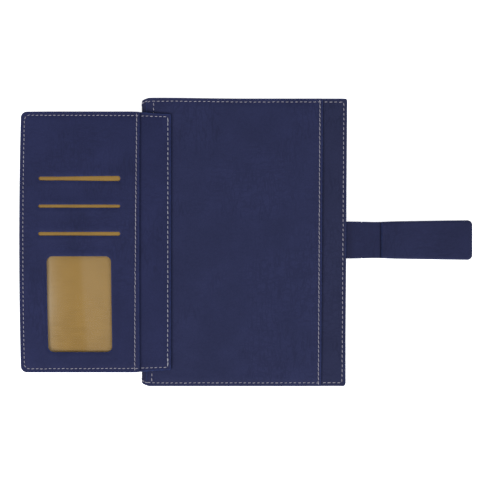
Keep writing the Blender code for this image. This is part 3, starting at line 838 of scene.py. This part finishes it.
def makeLining(side, placer, seams):
    def heights(s, y):
        inner = np.minimum(coverWidth - s, coverHalf - np.abs(y))
        half = (liningTop - liningLow) / 2
        sink = 0.12 * mm * (1 - smoothStep(inner, 0, 3 * mm)) + seamDip(s, y, seams)
        rise = 0.5 * cover["ease"] * unevenness(s, y) * smoothStep(s, 4 * mm, 20 * mm)
        rise = rise * smoothStep(inner, 3 * mm, 10 * mm)
        return half - sink + rise, -half + rise

    edge = 0.4 * mm
    lowS = -(liningLevel * math.pi / 2 + spineWidth / 2) - edge
    grid = coverGrid(lowS, coverWidth, [seamU, 0.0, -0.6 * mm])
    piece = cutSheet(side + "_lining_leather", coverDistance(lowS, coverWidth), *grid, heights,
                     placer(liningPath), liningLeather, edge)
    return piece, lambda s, y: heights(s, y)[0]


coverEdgeSeam = {**longSeam, "route": roundedRoute([
    (mouthU + 0.6 * mm, seamV), (seamU, seamV), (seamU, -seamV), (mouthU + 0.6 * mm, -seamV)],
    1.6 * mm)}
backLining, liningSurface = makeLining("back_cover", backPlace, [coverEdgeSeam])
backSkin, backSkinStitches = makeSkin("back_cover", backPlace, True)
frontLining, _ = makeLining("front_cover", frontPlace, [])
frontSkin, frontSkinStitches = makeSkin("front_cover", frontPlace, False)
# the pocket's edge seams run on round the fold, along the drawn-in end of the lining
foldRun = np.linspace(2.8 * mm, -3.0 * mm, 8)
foldSeams = {"fold_stitches_" + end: {**fineSeam, "pitch": 2.6 * mm, "route": np.stack(
    [foldRun, side * (seamV - foldDrop(foldRun) + 0.4 * mm)], -1)}
    for end, side in (("top", 1), ("bottom", -1))}
coverEdgeStitches, *foldStitches = sewRows(
    {"cover_edge_stitches": coverEdgeSeam, **foldSeams}, liningSurface, backPlace(liningPath))


# A slip pocket panel and the stitches of its seams, a dictionary of rows. It is pinched by its
# edge seams, thinned where it reaches the fold, and gapes slightly at its mouth. Its turned hem
# lies higher or lower by hemRise. sign is 1 where the mouth is at highU.
def makePocket(name, placer, lowU, highU, sign, opening, hemRise, rows, gridNear, edgeCorners):
    half = (pocketTop - pocketLow) / 2
    level = (pocketTop + pocketLow) / 2
    mouth = highU if sign > 0 else lowU

    def heights(u, y):
        inner = coverHalf - np.abs(y)
        if sign < 0:
            inner = np.minimum(inner, highU - u)
        fromMouth = sign * (mouth - u)
        pinch = 0.50 * mm * (1 - smoothStep(inner, 1.0 * mm, 6.5 * mm))
        if sign > 0:
            pinch = np.maximum(pinch, 0.62 * mm * (1 - smoothStep(u, 4.5 * mm, 13 * mm)))
        hem = hemRise * (1 - smoothStep(fromMouth, 4.6 * mm, 5.6 * mm))
        gape = opening * (1 - smoothStep(fromMouth, 0, 16 * mm)) ** 2
        gape = gape * smoothStep(inner, 4 * mm, 40 * mm)
        ease = cover["ease"] * unevenness(u, y) * smoothStep(inner, 2 * mm, 14 * mm)
        ease = ease + cover["pocketSwell"] * (swell(u, y) - 0.7) * smoothStep(inner, 0, 9 * mm)
        middle = level - pinch + gape + ease
        thin = 1 - 0.62 * (1 - smoothStep(u, pocketStartU, 6 * mm)) if sign > 0 else 1
        top = middle + half * thin - seamDip(u, y, rows.values())
        bottom = middle - half * thin
        if sign > 0:
            top = top - 0.30 * mm * (1 - smoothStep(u, pocketStartU, 6 * mm))
            bottom = np.maximum(bottom, liningTop + 0.03 * mm)
        return top + hem, bottom

    piece = cutSheet(name, coverDistance(lowU, highU, *edgeCorners),
                     *coverGrid(lowU, highU, gridNear, 0.35 * mm), heights, placer(flatPath),
                     navyLeather)
    return piece, *sewRows(rows, lambda u, y: heights(u, y)[0], placer(flatPath))


hemU = mouthU - cover["hemSeam"]
spineU = cover["spineSeam"]


# From the hem to the fold, where the seam turns in with the rounded end of the sheets
def pocketEdge(side):
    low = pocketStartU + 0.5 * mm
    return roundedRoute([(mouthU - 0.8 * mm, side * seamV), (4.4 * mm, side * seamV),
                         (low, side * (seamV - foldDrop(low) - 0.2 * mm))], 1.2 * mm)


# A pocket's hem seam, straight from end to end
def hemSeam(u):
    end = coverHalf - 0.9 * mm
    return {**ropeSeam, "route": np.array([(u, end), (u, -end)])}


slant = cover["spineSeamSlant"]
documentPocket, *pocketStitches = makePocket(
    "document_pocket_leather", backPlace, pocketStartU, mouthU, 1, 0.55 * mm, 0.16 * mm, {
        "pocket_top_stitches": {**fineSeam, "route": pocketEdge(1)},
        "pocket_bottom_stitches": {**fineSeam, "route": pocketEdge(-1)},
        "pocket_spine_stitches": {**longSeam, "route": np.array([
            (spineU + slant, seamV - 0.6 * mm), (spineU - slant, -seamV + 0.6 * mm)])},
        "pocket_hem_stitches": hemSeam(hemU)},
    [hemU, spineU], (0.8 * mm, 0.6 * mm))
passportHemU = passportMouthU + cover["hemSeam"]
passportPocket, *passportStitches = makePocket(
    "passport_pocket_leather", frontPlace, passportMouthU, coverWidth, -1, 0.0, -0.20 * mm, {
        "passport_edge_stitches": {**fineSeam, "route": roundedRoute([
            (passportMouthU + 0.8 * mm, seamV), (seamU, seamV), (seamU, -seamV),
            (passportMouthU + 0.8 * mm, -seamV)], 1.6 * mm)},
        "passport_hem_stitches": {**hemSeam(passportHemU), "lift": -0.08 * mm}},
    [passportHemU, seamU], (0.6 * mm, cover["corner"]))


# A foam pad between board and skin, skived thin towards its edges: flat against the board, and
# on its outer side as deep as the skin's inner face lets it be. The front one has a round
# opening for the steel plate.
def makeFoam(side, placer, plateAt):
    low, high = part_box(side + "_padding")
    lowU, highU = low[0] - foldX, high[0] - foldX
    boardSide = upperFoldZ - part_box("back_cover_padding")[1][2]
    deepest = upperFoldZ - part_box("back_cover_padding")[0][2]

    def distance(u, y):
        outline = panelDistance(u, y, lowU, highU, low[1], high[1], 2 * mm, 2 * mm)
        if plateAt is None:
            return outline
        opening = np.hypot(u - plateAt[0] + foldX, y + plateAt[1]) - plateAt[2]
        return np.maximum(outline, -opening)

    def heights(u, y):
        skinInside = skinBelly(u, y) - liningLevel + cover["skinThick"] / 2
        outer = np.clip(skinInside + 0.15 * mm, -deepest, -boardSide - 0.12 * mm)
        return 0 * u - boardSide, outer

    near = [lowU, highU] if plateAt is None else [lowU, highU, plateAt[0] - foldX]
    return cutSheet(side + "_foam", distance, gradedLines(lowU, highU, 2 * mm, 0.7 * mm, near),
                    gradedLines(low[1], high[1], 2 * mm, 0.7 * mm, [low[1], high[1]]), heights,
                    placer(flatPath), paddingFoam, 0.06 * mm, 3)


plateLow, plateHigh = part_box("catch_plate")
plateAt = ((plateLow[0] + plateHigh[0]) / 2, (plateLow[1] + plateHigh[1]) / 2,
           (plateHigh[0] - plateLow[0]) / 2 + 0.35 * mm)
backFoam = makeFoam("back_cover", backPlace, None)
frontFoam = makeFoam("front_cover", frontPlace, plateAt)
for piece, body in ((backFoam, "back_cover"), (frontFoam, "front_cover")):
    fitPiece(piece, body, "padding_foam", body + "_padding")


# A sheet folds between a point over the cover and a point beside the spine: run is how far
# each lies from the fold line along the sheet, and level how far above it
def coverFold(body, sign, foldZ, run, level):
    return (body, "spine", (foldX + run, 0, foldZ + sign * level),
            (foldX - level, 0, foldZ - sign * run))


liningFold, skinFold = (1.9 * mm, liningLevel), (3.2 * mm, -0.6 * mm)
backFold = coverFold("back_cover", 1, upperFoldZ, *liningFold)
frontFold = coverFold("front_cover", -1, lowerFoldZ, *liningFold)
backSkinFold = coverFold("back_cover", 1, upperFoldZ, *skinFold)
frontSkinFold = coverFold("front_cover", -1, lowerFoldZ, *skinFold)
fitPiece(backLining, backFold, "navy_lining", "back_cover_lining", "spine_lining")
fitPiece(frontLining, frontFold, "navy_lining", "front_cover_lining")
fitPiece(backSkin, backSkinFold, "navy_leather", "back_cover_skin", "spine_skin")
fitPiece(frontSkin, frontSkinFold, "navy_leather", "front_cover_skin")
fitPiece(documentPocket, "back_cover", "navy_leather", "document_pocket_panel")
fitPiece(passportPocket, "front_cover", "navy_leather", "passport_pocket_panel")
for piece, body, *nodes in (
        (foldStitches[0], backFold), (foldStitches[1], backFold),
        (backSkinStitches, "back_cover"), (frontSkinStitches, "front_cover"),
        (coverEdgeStitches, "back_cover", "cover_edge_thread"),
        (pocketStitches[0], "back_cover", "pocket_edge_thread"),
        (pocketStitches[1], "back_cover"), (pocketStitches[2], "back_cover"),
        (pocketStitches[3], "back_cover", "pocket_hem_thread"),
        (passportStitches[0], "front_cover", "passport_edge_thread"),
        (passportStitches[1], "front_cover", "passport_hem_thread")):
    fitPiece(piece, body, "seam_thread", *nodes)

print("covers ready")


# ---- card leaf

leafLow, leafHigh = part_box("card_pocket_panel")
leafSkinLow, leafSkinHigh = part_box("leaf_skin")
stripBoxLow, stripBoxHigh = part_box("leaf_strip")
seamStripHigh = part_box("leaf_seam_strip")[1]
leaf = {
    "corner": 4.5 * mm,
    "bow": 1.3 * mm,             # how far the middle of the free edge stands out
    "edgeSeam": 2.7 * mm,
    "hemSeam": 2.1 * mm,
    "hemSlant": 0.75 * mm,       # the hem seam leans this much either side of its place
    "taper": 1.5 * mm,           # how much the leaf narrows, at each end, to its sewn edge
    "slotHeights": (2.8 * mm, 2.3 * mm, 2.6 * mm),
    "slotFlare": (0.9 * mm, 0.0, 0.2 * mm),    # how much wider each slot is at its right end
    "slotInset": 13.7 * mm,
    "slotLength": 59.1 * mm,
    "slotDrop": 48.6 * mm,
    "slotPitch": 20.0 * mm,
    "windowInset": 20.1 * mm,
    "windowWidth": 46.3 * mm,
    "windowRise": 14.8 * mm,
    "windowHeight": 69.3 * mm,
    "windowCorner": 4.0 * mm,
    "windowLean": 0.009,
}
leafHalf = leafHigh[1]
panelEdgeX = leafHigh[0] - 0.7 * mm     # the turned edge of the card panel
slotLeft = leafLow[0] + leaf["slotInset"]
slotMiddles = [leafHalf - leaf["slotDrop"] - k * leaf["slotPitch"] for k in range(3)]
windowLeft = leafLow[0] + leaf["windowInset"]
windowRight = windowLeft + leaf["windowWidth"]
windowLow = -leafHalf + leaf["windowRise"]
windowHigh = windowLow + leaf["windowHeight"]


def worldPlace(x, y, z):
    return x, y, z


# The free edge bows out in the middle of its height
def leafBow(x, y):
    reach = np.clip((leafLineX - x) / (leafLineX - leafLow[0]), 0, 1)
    return x - leaf["bow"] * reach * (0.45 - (y / leafHalf) ** 2)


def leafPlace(x, y, z):
    return leafBow(x, y), y, z


def slotDistance(x, y):
    nearest = np.full_like(x, 1.0)
    flaring = smoothStep(x, slotLeft + 10 * mm, slotLeft + leaf["slotLength"] - 4 * mm)
    for middle, height, flare in zip(slotMiddles, leaf["slotHeights"], leaf["slotFlare"]):
        half = (height + flare * flaring) / 2
        nearest = np.minimum(nearest, panelDistance(
            x, y, slotLeft, slotLeft + leaf["slotLength"], middle - half, middle + half,
            half * 0.98, half * 0.98))
    return nearest


def windowDistance(x, y):
    upright = x + leaf["windowLean"] * (y - (windowLow + windowHigh) / 2)
    return panelDistance(upright, y, windowLeft, windowRight, windowLow, windowHigh,
                         leaf["windowCorner"], leaf["windowCorner"])


# Half height of the leaf: even over the card panel, then tapering to the sewn edge
def leafHalfAt(x):
    return leafHalf - leaf["taper"] * smoothStep(x, panelEdgeX - 8 * mm, seamStripHigh[0])


def cardPanelDistance(x, y):
    outline = panelDistance(x, y * leafHalf / leafHalfAt(x), leafLow[0], panelEdgeX, -leafHalf,
                            leafHalf, leaf["corner"], 0.6 * mm)
    return np.maximum(outline, -np.minimum(slotDistance(x, y), windowDistance(x, y)))


leafSeamU = leafLow[0] + leaf["edgeSeam"]
leafSeamV = leafHalf - leaf["edgeSeam"]
leafHemX = panelEdgeX - leaf["hemSeam"] - leaf["hemSlant"]
leafEdgeSeam = {**fineSeam, "pitch": 3.15 * mm, "route": roundedRoute([
    (panelEdgeX - 0.5 * mm, leafSeamV - 0.3 * mm), (leafSeamU, leafSeamV),
    (leafSeamU, -leafSeamV), (panelEdgeX - 0.5 * mm, -leafSeamV + 0.3 * mm)], 4.2 * mm)}
leafHemSeam = {**ropeSeam, "route": np.array([
    (leafHemX + leaf["hemSlant"], leafHalf - 1.2 * mm),
    (leafHemX - leaf["hemSlant"], -leafHalf + 1.2 * mm)])}
leafSeams = [leafEdgeSeam, leafHemSeam]


# The card panel is pinched at its seams and rolls down a little into the slots and window
def cardPanelHeights(x, y):
    outer = np.minimum(x - leafLow[0], leafHalf - np.abs(y))
    pinch = 0.30 * mm * (1 - smoothStep(outer, 1.5 * mm, 7 * mm))
    opening = np.minimum(slotDistance(x, y), windowDistance(x, y))
    roll = 0.22 * mm * np.exp(-np.maximum(opening, 0) / (0.8 * mm))
    puff = 0.16 * mm * np.exp(-((opening - 2.6 * mm) / (1.7 * mm)) ** 2)
    hem = 0.14 * mm * (1 - smoothStep(panelEdgeX - x, 5.4 * mm, 6.4 * mm))
    ease = 0.07 * mm * unevenness(x + 0.2, y) * smoothStep(outer, 2 * mm, 12 * mm)
    top = leafHigh[2] - 0.12 * mm - pinch - roll + puff + hem + ease - seamDip(x, y, leafSeams)
    bottom = leafLow[2] - pinch * 0.6 + ease + 0 * x
    return top, bottom


cardAcross = rimmedLines(leafLow[0], panelEdgeX, 1.4 * mm, 0.35 * mm, [
    leafSeamU, leafHemX, windowLeft, windowRight, slotLeft + 0.6 * mm,
    slotLeft + leaf["slotLength"] - 0.6 * mm], 1.4 * mm)
cardAlong = rimmedLines(-leafHalf, leafHalf, 0.9 * mm, 0.35 * mm, [
    -leafSeamV, leafSeamV, windowLow, windowHigh,
    *[middle + side * 1.4 * mm for middle in slotMiddles for side in (-1, 1)]], 1.3 * mm)
cardPanel = cutSheet("card_panel_leather", cardPanelDistance, cardAcross, cardAlong,
                     cardPanelHeights, leafPlace, leafLeather, 0.4 * mm)
leafEdgeStitches, leafHemStitches = sewRows(
    {"leaf_edge_stitches": leafEdgeSeam, "leaf_hem_stitches": leafHemSeam},
    lambda x, y: cardPanelHeights(x, y)[0], leafPlace)

# The strip beside the spine and the back skin both run on to the sewn edge
seamEdgeX = seamStripHigh[0]
attachX = seamEdgeX - 2.1 * mm
attachTop = leafHalf - leaf["taper"] - 2.2 * mm
attachSeam = {"pitch": 3.55 * mm, "stitch": 2.7 * mm, "thick": 0.58 * mm, "dip": 0.28 * mm,
              "route": np.array([(attachX, attachTop), (attachX - 0.2 * mm, -attachTop)])}
backTacks = [{**attachSeam, "dip": 0.0, "route": np.array([
    (attachX + 0.1 * mm, high), (attachX, high - length)])}
    for high, length in ((attachTop - 1.2 * mm, 3.6 * mm), (-attachTop + 7.0 * mm, 5.4 * mm))]
stripHalf = leafHalf - 0.3 * mm
stripEdgeSeams = {"leaf_strip_stitches_" + end: {
    **fineSeam, "pitch": 3.15 * mm, "route": np.array([
        (panelEdgeX + 0.6 * mm, side * (leafSeamV - 0.5 * mm)),
        (attachX - 0.6 * mm, side * attachTop)])} for end, side in (("top", 1), ("bottom", -1))}
stripSeams = [attachSeam, *stripEdgeSeams.values()]


def stripDistance(x, y):
    half = leafHalfAt(x) - 0.3 * mm
    return panelDistance(x, y * stripHalf / half, stripBoxLow[0], seamEdgeX, -stripHalf,
                         stripHalf, 0.6 * mm, 0.7 * mm)


def stripHeights(x, y):
    inner = leafHalfAt(x) - 0.3 * mm - np.abs(y)
    sewn = smoothStep(x, leafLineX - 1.5 * mm, attachX)
    pinch = 0.25 * mm * (1 - smoothStep(inner, 1.0 * mm, 5 * mm)) + 0.25 * mm * sewn
    ease = 0.05 * mm * unevenness(x, y) * smoothStep(inner, 2 * mm, 12 * mm)
    top = stripBoxHigh[2] - pinch + ease - seamDip(x, y, stripSeams)
    return top, stripBoxLow[2] - pinch * 0.5 + ease


stripAcross = gradedLines(stripBoxLow[0], seamEdgeX, 1.2 * mm, 0.3 * mm,
                          [attachX, leafLineX, seamEdgeX - 0.6 * mm])
stripAlong = rimmedLines(-stripHalf, stripHalf, 0.85 * mm, 0.4 * mm)
leafStrip = cutSheet("leaf_strip_leather", stripDistance, stripAcross, stripAlong, stripHeights,
                     worldPlace, leafLeather, 0.35 * mm)
stripSurface = lambda x, y: stripHeights(x, y)[0]
attachStitches = stitchRow("leaf_attaching_stitches", attachSeam, stripSurface, worldPlace,
                           paleThread)
tackStitches = [stitchRow("back_tack_" + end, seam, stripSurface, worldPlace, paleThread)
                for end, seam in zip(("top", "bottom"), backTacks)]
stripStitches = sewRows(stripEdgeSeams, stripSurface, worldPlace)


def leafSkinDistance(x, y):
    return panelDistance(x, y * leafHalf / leafHalfAt(x), leafSkinLow[0], seamEdgeX,
                         -leafHalf, leafHalf, leaf["corner"], 0.7 * mm)


def leafSkinHeights(x, y):
    inner = np.minimum(x - leafSkinLow[0], leafHalf - np.abs(y))
    lift = 0.75 * mm * (1 - smoothStep(inner, 1.0 * mm, 6 * mm))
    lift = lift * (1 - smoothStep(x, leafHigh[0] - 8 * mm, leafHigh[0]))
    return leafSkinHigh[2] + lift, leafSkinLow[2] + lift + 0.0 * x


leafSkin = cutSheet("leaf_back_leather", leafSkinDistance,
                    gradedLines(leafSkinLow[0], seamEdgeX, 1.8 * mm, 0.4 * mm,
                                [leafSkinLow[0] + 0.7 * mm, leafSeamU, leafLineX, seamEdgeX]),
                    rimmedLines(-leafHalf, leafHalf, 1.6 * mm, 0.4 * mm),
                    leafSkinHeights, leafPlace, navyLeather, 0.35 * mm)

# Gold lining behind the slots, seen through them: it lifts a little into each slot
pouchLow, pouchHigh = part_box("card_slot_lining")


def pouchHeights(x, y):
    lift = 0.35 * mm * (1 - smoothStep(slotDistance(x, y), -0.8 * mm, 1.5 * mm))
    ripple = 0.05 * mm * np.sin(x / (2.3 * mm) + 3 * np.sin(y / (7 * mm)))
    return pouchHigh[2] + lift + ripple, pouchLow[2] + lift + ripple


# A cloth or film cut to the outline of its node
def cutToBox(name, node, corners, across, along, heights, material, edge):
    low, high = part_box(node)
    return cutSheet(
        name, lambda x, y: panelDistance(x, y, low[0], high[0], low[1], high[1], *corners),
        gradedLines(low[0], high[0], *across), gradedLines(low[1], high[1], *along), heights,
        worldPlace, material, edge, 3)


slotLining = cutToBox(
    "slot_lining_satin", "card_slot_lining", (1 * mm, 1 * mm),
    (0.8 * mm, 0.4 * mm, [pouchLow[0], pouchHigh[0]]),
    (0.8 * mm, 0.4 * mm, [pouchLow[1], pouchHigh[1], *slotMiddles]),
    pouchHeights, goldSatin, 0.15 * mm)

backingLow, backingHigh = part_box("leaf_gold_lining")


def backingHeights(x, y):
    ripple = 0.10 * mm * np.sin(y / (9 * mm) + 1.5 * np.sin(x / (14 * mm)))
    ripple = ripple + 0.06 * mm * np.sin(x / (5 * mm) + y / (21 * mm))
    return backingHigh[2] + ripple, backingLow[2] + ripple


windowBacking = cutToBox(
    "window_backing_satin", "leaf_gold_lining", (2 * mm, 1 * mm), (1.2 * mm, 0.5 * mm, []),
    (1.2 * mm, 0.5 * mm, []), backingHeights, goldSatin, 0.15 * mm)

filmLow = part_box("id_window_film")[0]


# The film is a little slack: shallow upright waves, held flat under the panel's edge
def filmHeights(x, y):
    free = smoothStep(-windowDistance(x, y), -0.5 * mm, 6 * mm)
    wave = 0.16 * mm * np.sin(x / (4.1 * mm) + 0.6 * np.sin(y / (16 * mm)))
    wave = (wave + 0.10 * mm * np.sin(x / (2.2 * mm) + y / (30 * mm))) * free
    return filmLow[2] + 0.16 * mm + wave, filmLow[2] + wave


windowFilm = cutToBox(
    "window_film", "id_window_film", (2 * mm, 2 * mm), (0.8 * mm, 0.5 * mm, []),
    (1.5 * mm, 0.5 * mm, []), filmHeights, clearFilm, 0.1 * mm)

# Painted reflection on the satin and on the film over it, as paler colour: a soft band beside the
# window's left edge, strongest half way down, and a fainter one over its right half with a
# leaning border
def windowPaintedReflection(x, y):
    rise = y - (windowLow + windowHigh) / 2
    fromLeft = x + leaf["windowLean"] * y - windowLeft
    halfWay = 0.6 + 0.4 * np.exp(-(rise / (16 * mm)) ** 2)
    band = 0.75 * np.exp(-np.abs(fromLeft - 0.5 * mm) / (5.0 * mm)) * halfWay
    return band + 0.17 * smoothStep(fromLeft + 0.055 * rise, 22.5 * mm, 28.5 * mm)


# written as point values that paint this reflection into the film's and the satin's finishes
for piece, attribute, share in ((windowFilm, "haze", 0.25), (windowBacking, "sheen", 0.17)):
    points = np.empty(len(piece.data.vertices) * 3)
    piece.data.vertices.foreach_get("co", points)
    values = share * windowPaintedReflection(points[::3], points[1::3])
    piece.data.attributes.new(attribute, "FLOAT", "POINT").data.foreach_set(
        "value", values.astype(np.float32))

leafFold = ("back_cover", "card_leaf", (leafLineX + 1.3 * mm, 0, leafLineZ),
            (leafLineX - 1.3 * mm, 0, leafLineZ))
for piece, body, slotName, *nodes in (
        (leafStrip, leafFold, "navy_leather", "leaf_strip", "leaf_seam_strip"),
        (leafSkin, leafFold, "navy_leather", "leaf_skin"),
        (stripStitches[0], leafFold, "seam_thread"), (stripStitches[1], leafFold, "seam_thread"),
        (cardPanel, "card_leaf", "navy_leather", "card_pocket_panel"),
        (slotLining, "card_leaf", "gold_cloth", "card_slot_lining"),
        (windowBacking, "card_leaf", "gold_cloth", "leaf_gold_lining"),
        (windowFilm, "card_leaf", "clear_film", "id_window_film"),
        (leafEdgeStitches, "card_leaf", "seam_thread", "leaf_edge_thread"),
        (leafHemStitches, "card_leaf", "seam_thread", "leaf_hem_thread"),
        (attachStitches, "back_cover", "seam_thread", "leaf_seam_thread"),
        (tackStitches[0], "back_cover", "seam_thread"),
        (tackStitches[1], "back_cover", "seam_thread")):
    fitPiece(piece, body, slotName, *nodes)

print("card leaf ready")


# ---- strap

bandLow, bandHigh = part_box("strap_band")
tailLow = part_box("strap_tail")[0]
facingLow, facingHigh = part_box("strap_facing")
strap = {
    "corner": 3.7 * mm,
    "waist": 0.35 * mm,          # how much the neck is drawn in on each side
    "join": (strapLow[0] + strapHigh[0]) / 2,
    "lap": 0.6 * mm,             # how far the neck runs on inside the band
    "bendRun": 2.6 * mm,         # how far each side of a bend the leather curves
    "wrap": 2.2 * mm,            # how far in from its outline the facing reaches full height
}
tipHalf = (bandHigh[1] - bandLow[1]) / 2


# Half width of the strap at x: even along the neck, then widening to the tip
def strapWidth(x):
    widen = np.clip((x - facingLow[0]) / (bandHigh[0] - facingLow[0]), 0, 1)
    drawn = strap["waist"] * np.exp(-((x - facingLow[0] + 5 * mm) / (9 * mm)) ** 2)
    return strapHalf + (tipHalf - strapHalf) * widen - drawn


def strapDistance(lowX, highX, lowCorner, highCorner):
    def distance(x, y):
        half = strapWidth(x)
        even = (y - strapMiddle) * tipHalf / half
        return panelDistance(x, even, lowX, highX, -tipHalf, tipHalf, lowCorner, highCorner)
    return distance


def bandHeights(x, y):
    side = strapWidth(x) - np.abs(y - strapMiddle)
    ease = 0.05 * mm * np.sin(x / (5 * mm)) * np.cos((y - strapMiddle) / (9 * mm))
    thin = 0.10 * mm * (1 - smoothStep(side, 0, 2 * mm))
    groove = 0.35 * mm * np.exp(-((x - facingLow[0] + 0.4 * mm) / (0.5 * mm)) ** 2)
    return bandHigh[2] - thin + ease - groove, bandLow[2] + thin + ease


strapAlong = gradedLines(strapMiddle - tipHalf - 0.2 * mm, strapMiddle + tipHalf + 0.2 * mm,
                         0.9 * mm, 0.35 * mm, [strapMiddle - tipHalf, strapMiddle + tipHalf],
                         2.2 * mm)
bandEdge = 0.25 * mm


# Painted shade: a dark line in the crease where the facing starts, and a painted shadow on the neck
# where it leaves the cover
def strapPaintedShade(x, y):
    step = np.exp(-((x - facingLow[0] + 0.1 * mm) / (0.55 * mm)) ** 2)
    coverShadow = 0.45 * np.exp(-((x - rootX) / (3.5 * mm)) ** 2)
    return np.maximum(step, coverShadow)


# The neck ends inside the start of the band, a hair thinner there so that no join shows
def neckHeights(x, y):
    top, bottom = bandHeights(x, y)
    inside = 0.03 * mm * smoothStep(x, strap["join"] - strap["lap"], strap["join"])
    return top - inside, bottom + inside


# Neck and band are cut alike, and the rubbed edge with its painted highlight is that of the whole
# strap
def cutBand(name, lowX, highX, lowCorner, highCorner, lines, heights):
    return cutSheet(name, strapDistance(lowX, highX, lowCorner, highCorner),
                    gradedLines(lowX, highX, *lines), strapAlong, heights, worldPlace,
                    strapLeather, bandEdge, creased=strapPaintedShade, crisp=True,
                    worn=strapDistance(tailLow[0], bandHigh[0], 0.5 * mm, strap["corner"]))


strapNeck = cutBand("strap_neck_leather", tailLow[0], strap["join"] + strap["lap"], 0.5 * mm,
                    0.05 * mm, (0.8 * mm, 0.4 * mm, [rootX]), neckHeights)
strapBand = cutBand("strap_band_leather", strap["join"] - bandEdge, bandHigh[0], 0.05 * mm,
                    strap["corner"], (0.9 * mm, 0.35 * mm, [
                        bendX, bandHigh[0] - 1 * mm, facingLow[0]], 2.5 * mm), bandHeights)
facingDistance = strapDistance(facingLow[0], facingHigh[0], 0.6 * mm, strap["corner"])


# The facing springs from the band at its outline and bulges over the stiffener: its height
# follows a quarter ellipse over the wrap width, then a very slight crown
def facingHeights(x, y):
    inner = np.clip(-facingDistance(x, y) / strap["wrap"], 0, 1)
    arch = np.sqrt(1 - (1 - inner) ** 2)
    low = bandHigh[2] + 0.05 * mm
    thick = facingHigh[2] - facingLow[2]
    top = low + 0.55 * mm + (facingHigh[2] - low - 0.55 * mm) * arch
    ridge = 0.14 * mm * np.exp(-((x - facingLow[0] - 3.4 * mm) / (0.7 * mm)) ** 2) * inner
    ease = 0.05 * mm * (unevenness(x * 1.7, y * 1.7) - 2) * inner + ridge - 0.10 * mm
    bottom = np.maximum(top - thick, low)
    return top - 0.05 * mm + ease, bottom - 0.02 * mm


strapFacing = cutSheet(
    "strap_facing_leather", facingDistance,
    gradedLines(facingLow[0], facingHigh[0], 0.9 * mm, 0.25 * mm,
                [facingLow[0] + 0.9 * mm, facingHigh[0] - 0.9 * mm], 2.0 * mm),
    gradedLines(strapMiddle - tipHalf, strapMiddle + tipHalf, 0.8 * mm, 0.25 * mm,
                [strapMiddle - tipHalf, strapMiddle + tipHalf], 2.8 * mm),
    facingHeights, worldPlace, strapLeather, 0.2 * mm, 4, creased=strapPaintedShade)
fitPiece(strapNeck, ("back_cover", "strap_riser", (rootX - 1.4 * mm, 0, strapZ),
                     (rootX + strap["bendRun"], 0, strapZ)), "navy_leather", "strap_tail")
fitPiece(strapBand, ("strap_riser", "strap_tab", (bendX - strap["bendRun"], 0, strapZ),
                     (bendX + strap["bendRun"], 0, strapZ)), "navy_leather", "strap_riser",
         "strap_band")
fitPiece(strapFacing, "strap_tab", "navy_leather", "strap_facing")

print("strap ready")


# ---- floor, light and camera

studio = {
    "floor": (0.93, 0.93, 0.93),
    "glow": 0.75,                # keeps the floor white beside the object
    "world": 0.62,
    "view": 348.3 * mm,          # width that the camera takes in at the top of the covers
    "middle": (-4.70 * mm, 1.42 * mm),
    "distance": 1.5,
}
bpy.ops.mesh.primitive_plane_add(size=6.0, location=(0, 0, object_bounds()[0][2] - 0.02 * mm))
floor = bpy.context.object
floor.name = "floor"
floorMaterial, floorTree, floorShader = newNodes("paleFloor")
setInputs(floorTree, floorShader, {
    "Base Color": (*studio["floor"], 1), "Roughness": 0.9, "Emission Color": (1, 1, 1, 1),
    "Emission Strength": studio["glow"], "Specular IOR Level": 0.1})
floor.data.materials.append(floorMaterial)

world = bpy.data.worlds.new("studio")
world.use_nodes = True
setInputs(world.node_tree, world.node_tree.nodes["Background"],
          {"Color": (1, 1, 1, 1), "Strength": studio["world"]})
bpy.context.scene.world = world


# A square light that faces the middle of the object
def softLight(name, place, side, watts):
    light = bpy.data.lights.new(name, "AREA")
    light.size = side
    light.energy = watts
    lamp = bpy.data.objects.new(name, light)
    lamp.location = place
    yaw = math.atan2(-place[1], -place[0]) - math.pi / 2
    lamp.rotation_euler = (math.acos(place[2] / math.hypot(*place)), 0, yaw)
    bpy.context.scene.collection.objects.link(lamp)


softLight("keyLight", (-1.1, -0.9, 1.3), 0.8, 21.6)
softLight("fillLight", (0.95, -0.7, 1.2), 1.0, 10.5)

camera = bpy.data.cameras.new("overhead")
camera.sensor_width = 36
topLevel = upperFoldZ + pocketTop
camera.lens = 36 * (studio["distance"] - topLevel) / studio["view"]
cameraObject = bpy.data.objects.new("overhead", camera)
cameraObject.location = (*studio["middle"], studio["distance"])
bpy.context.scene.collection.objects.link(cameraObject)
bpy.context.scene.camera = cameraObject
bpy.context.scene.view_settings.view_transform = "Standard"

print("studio ready")
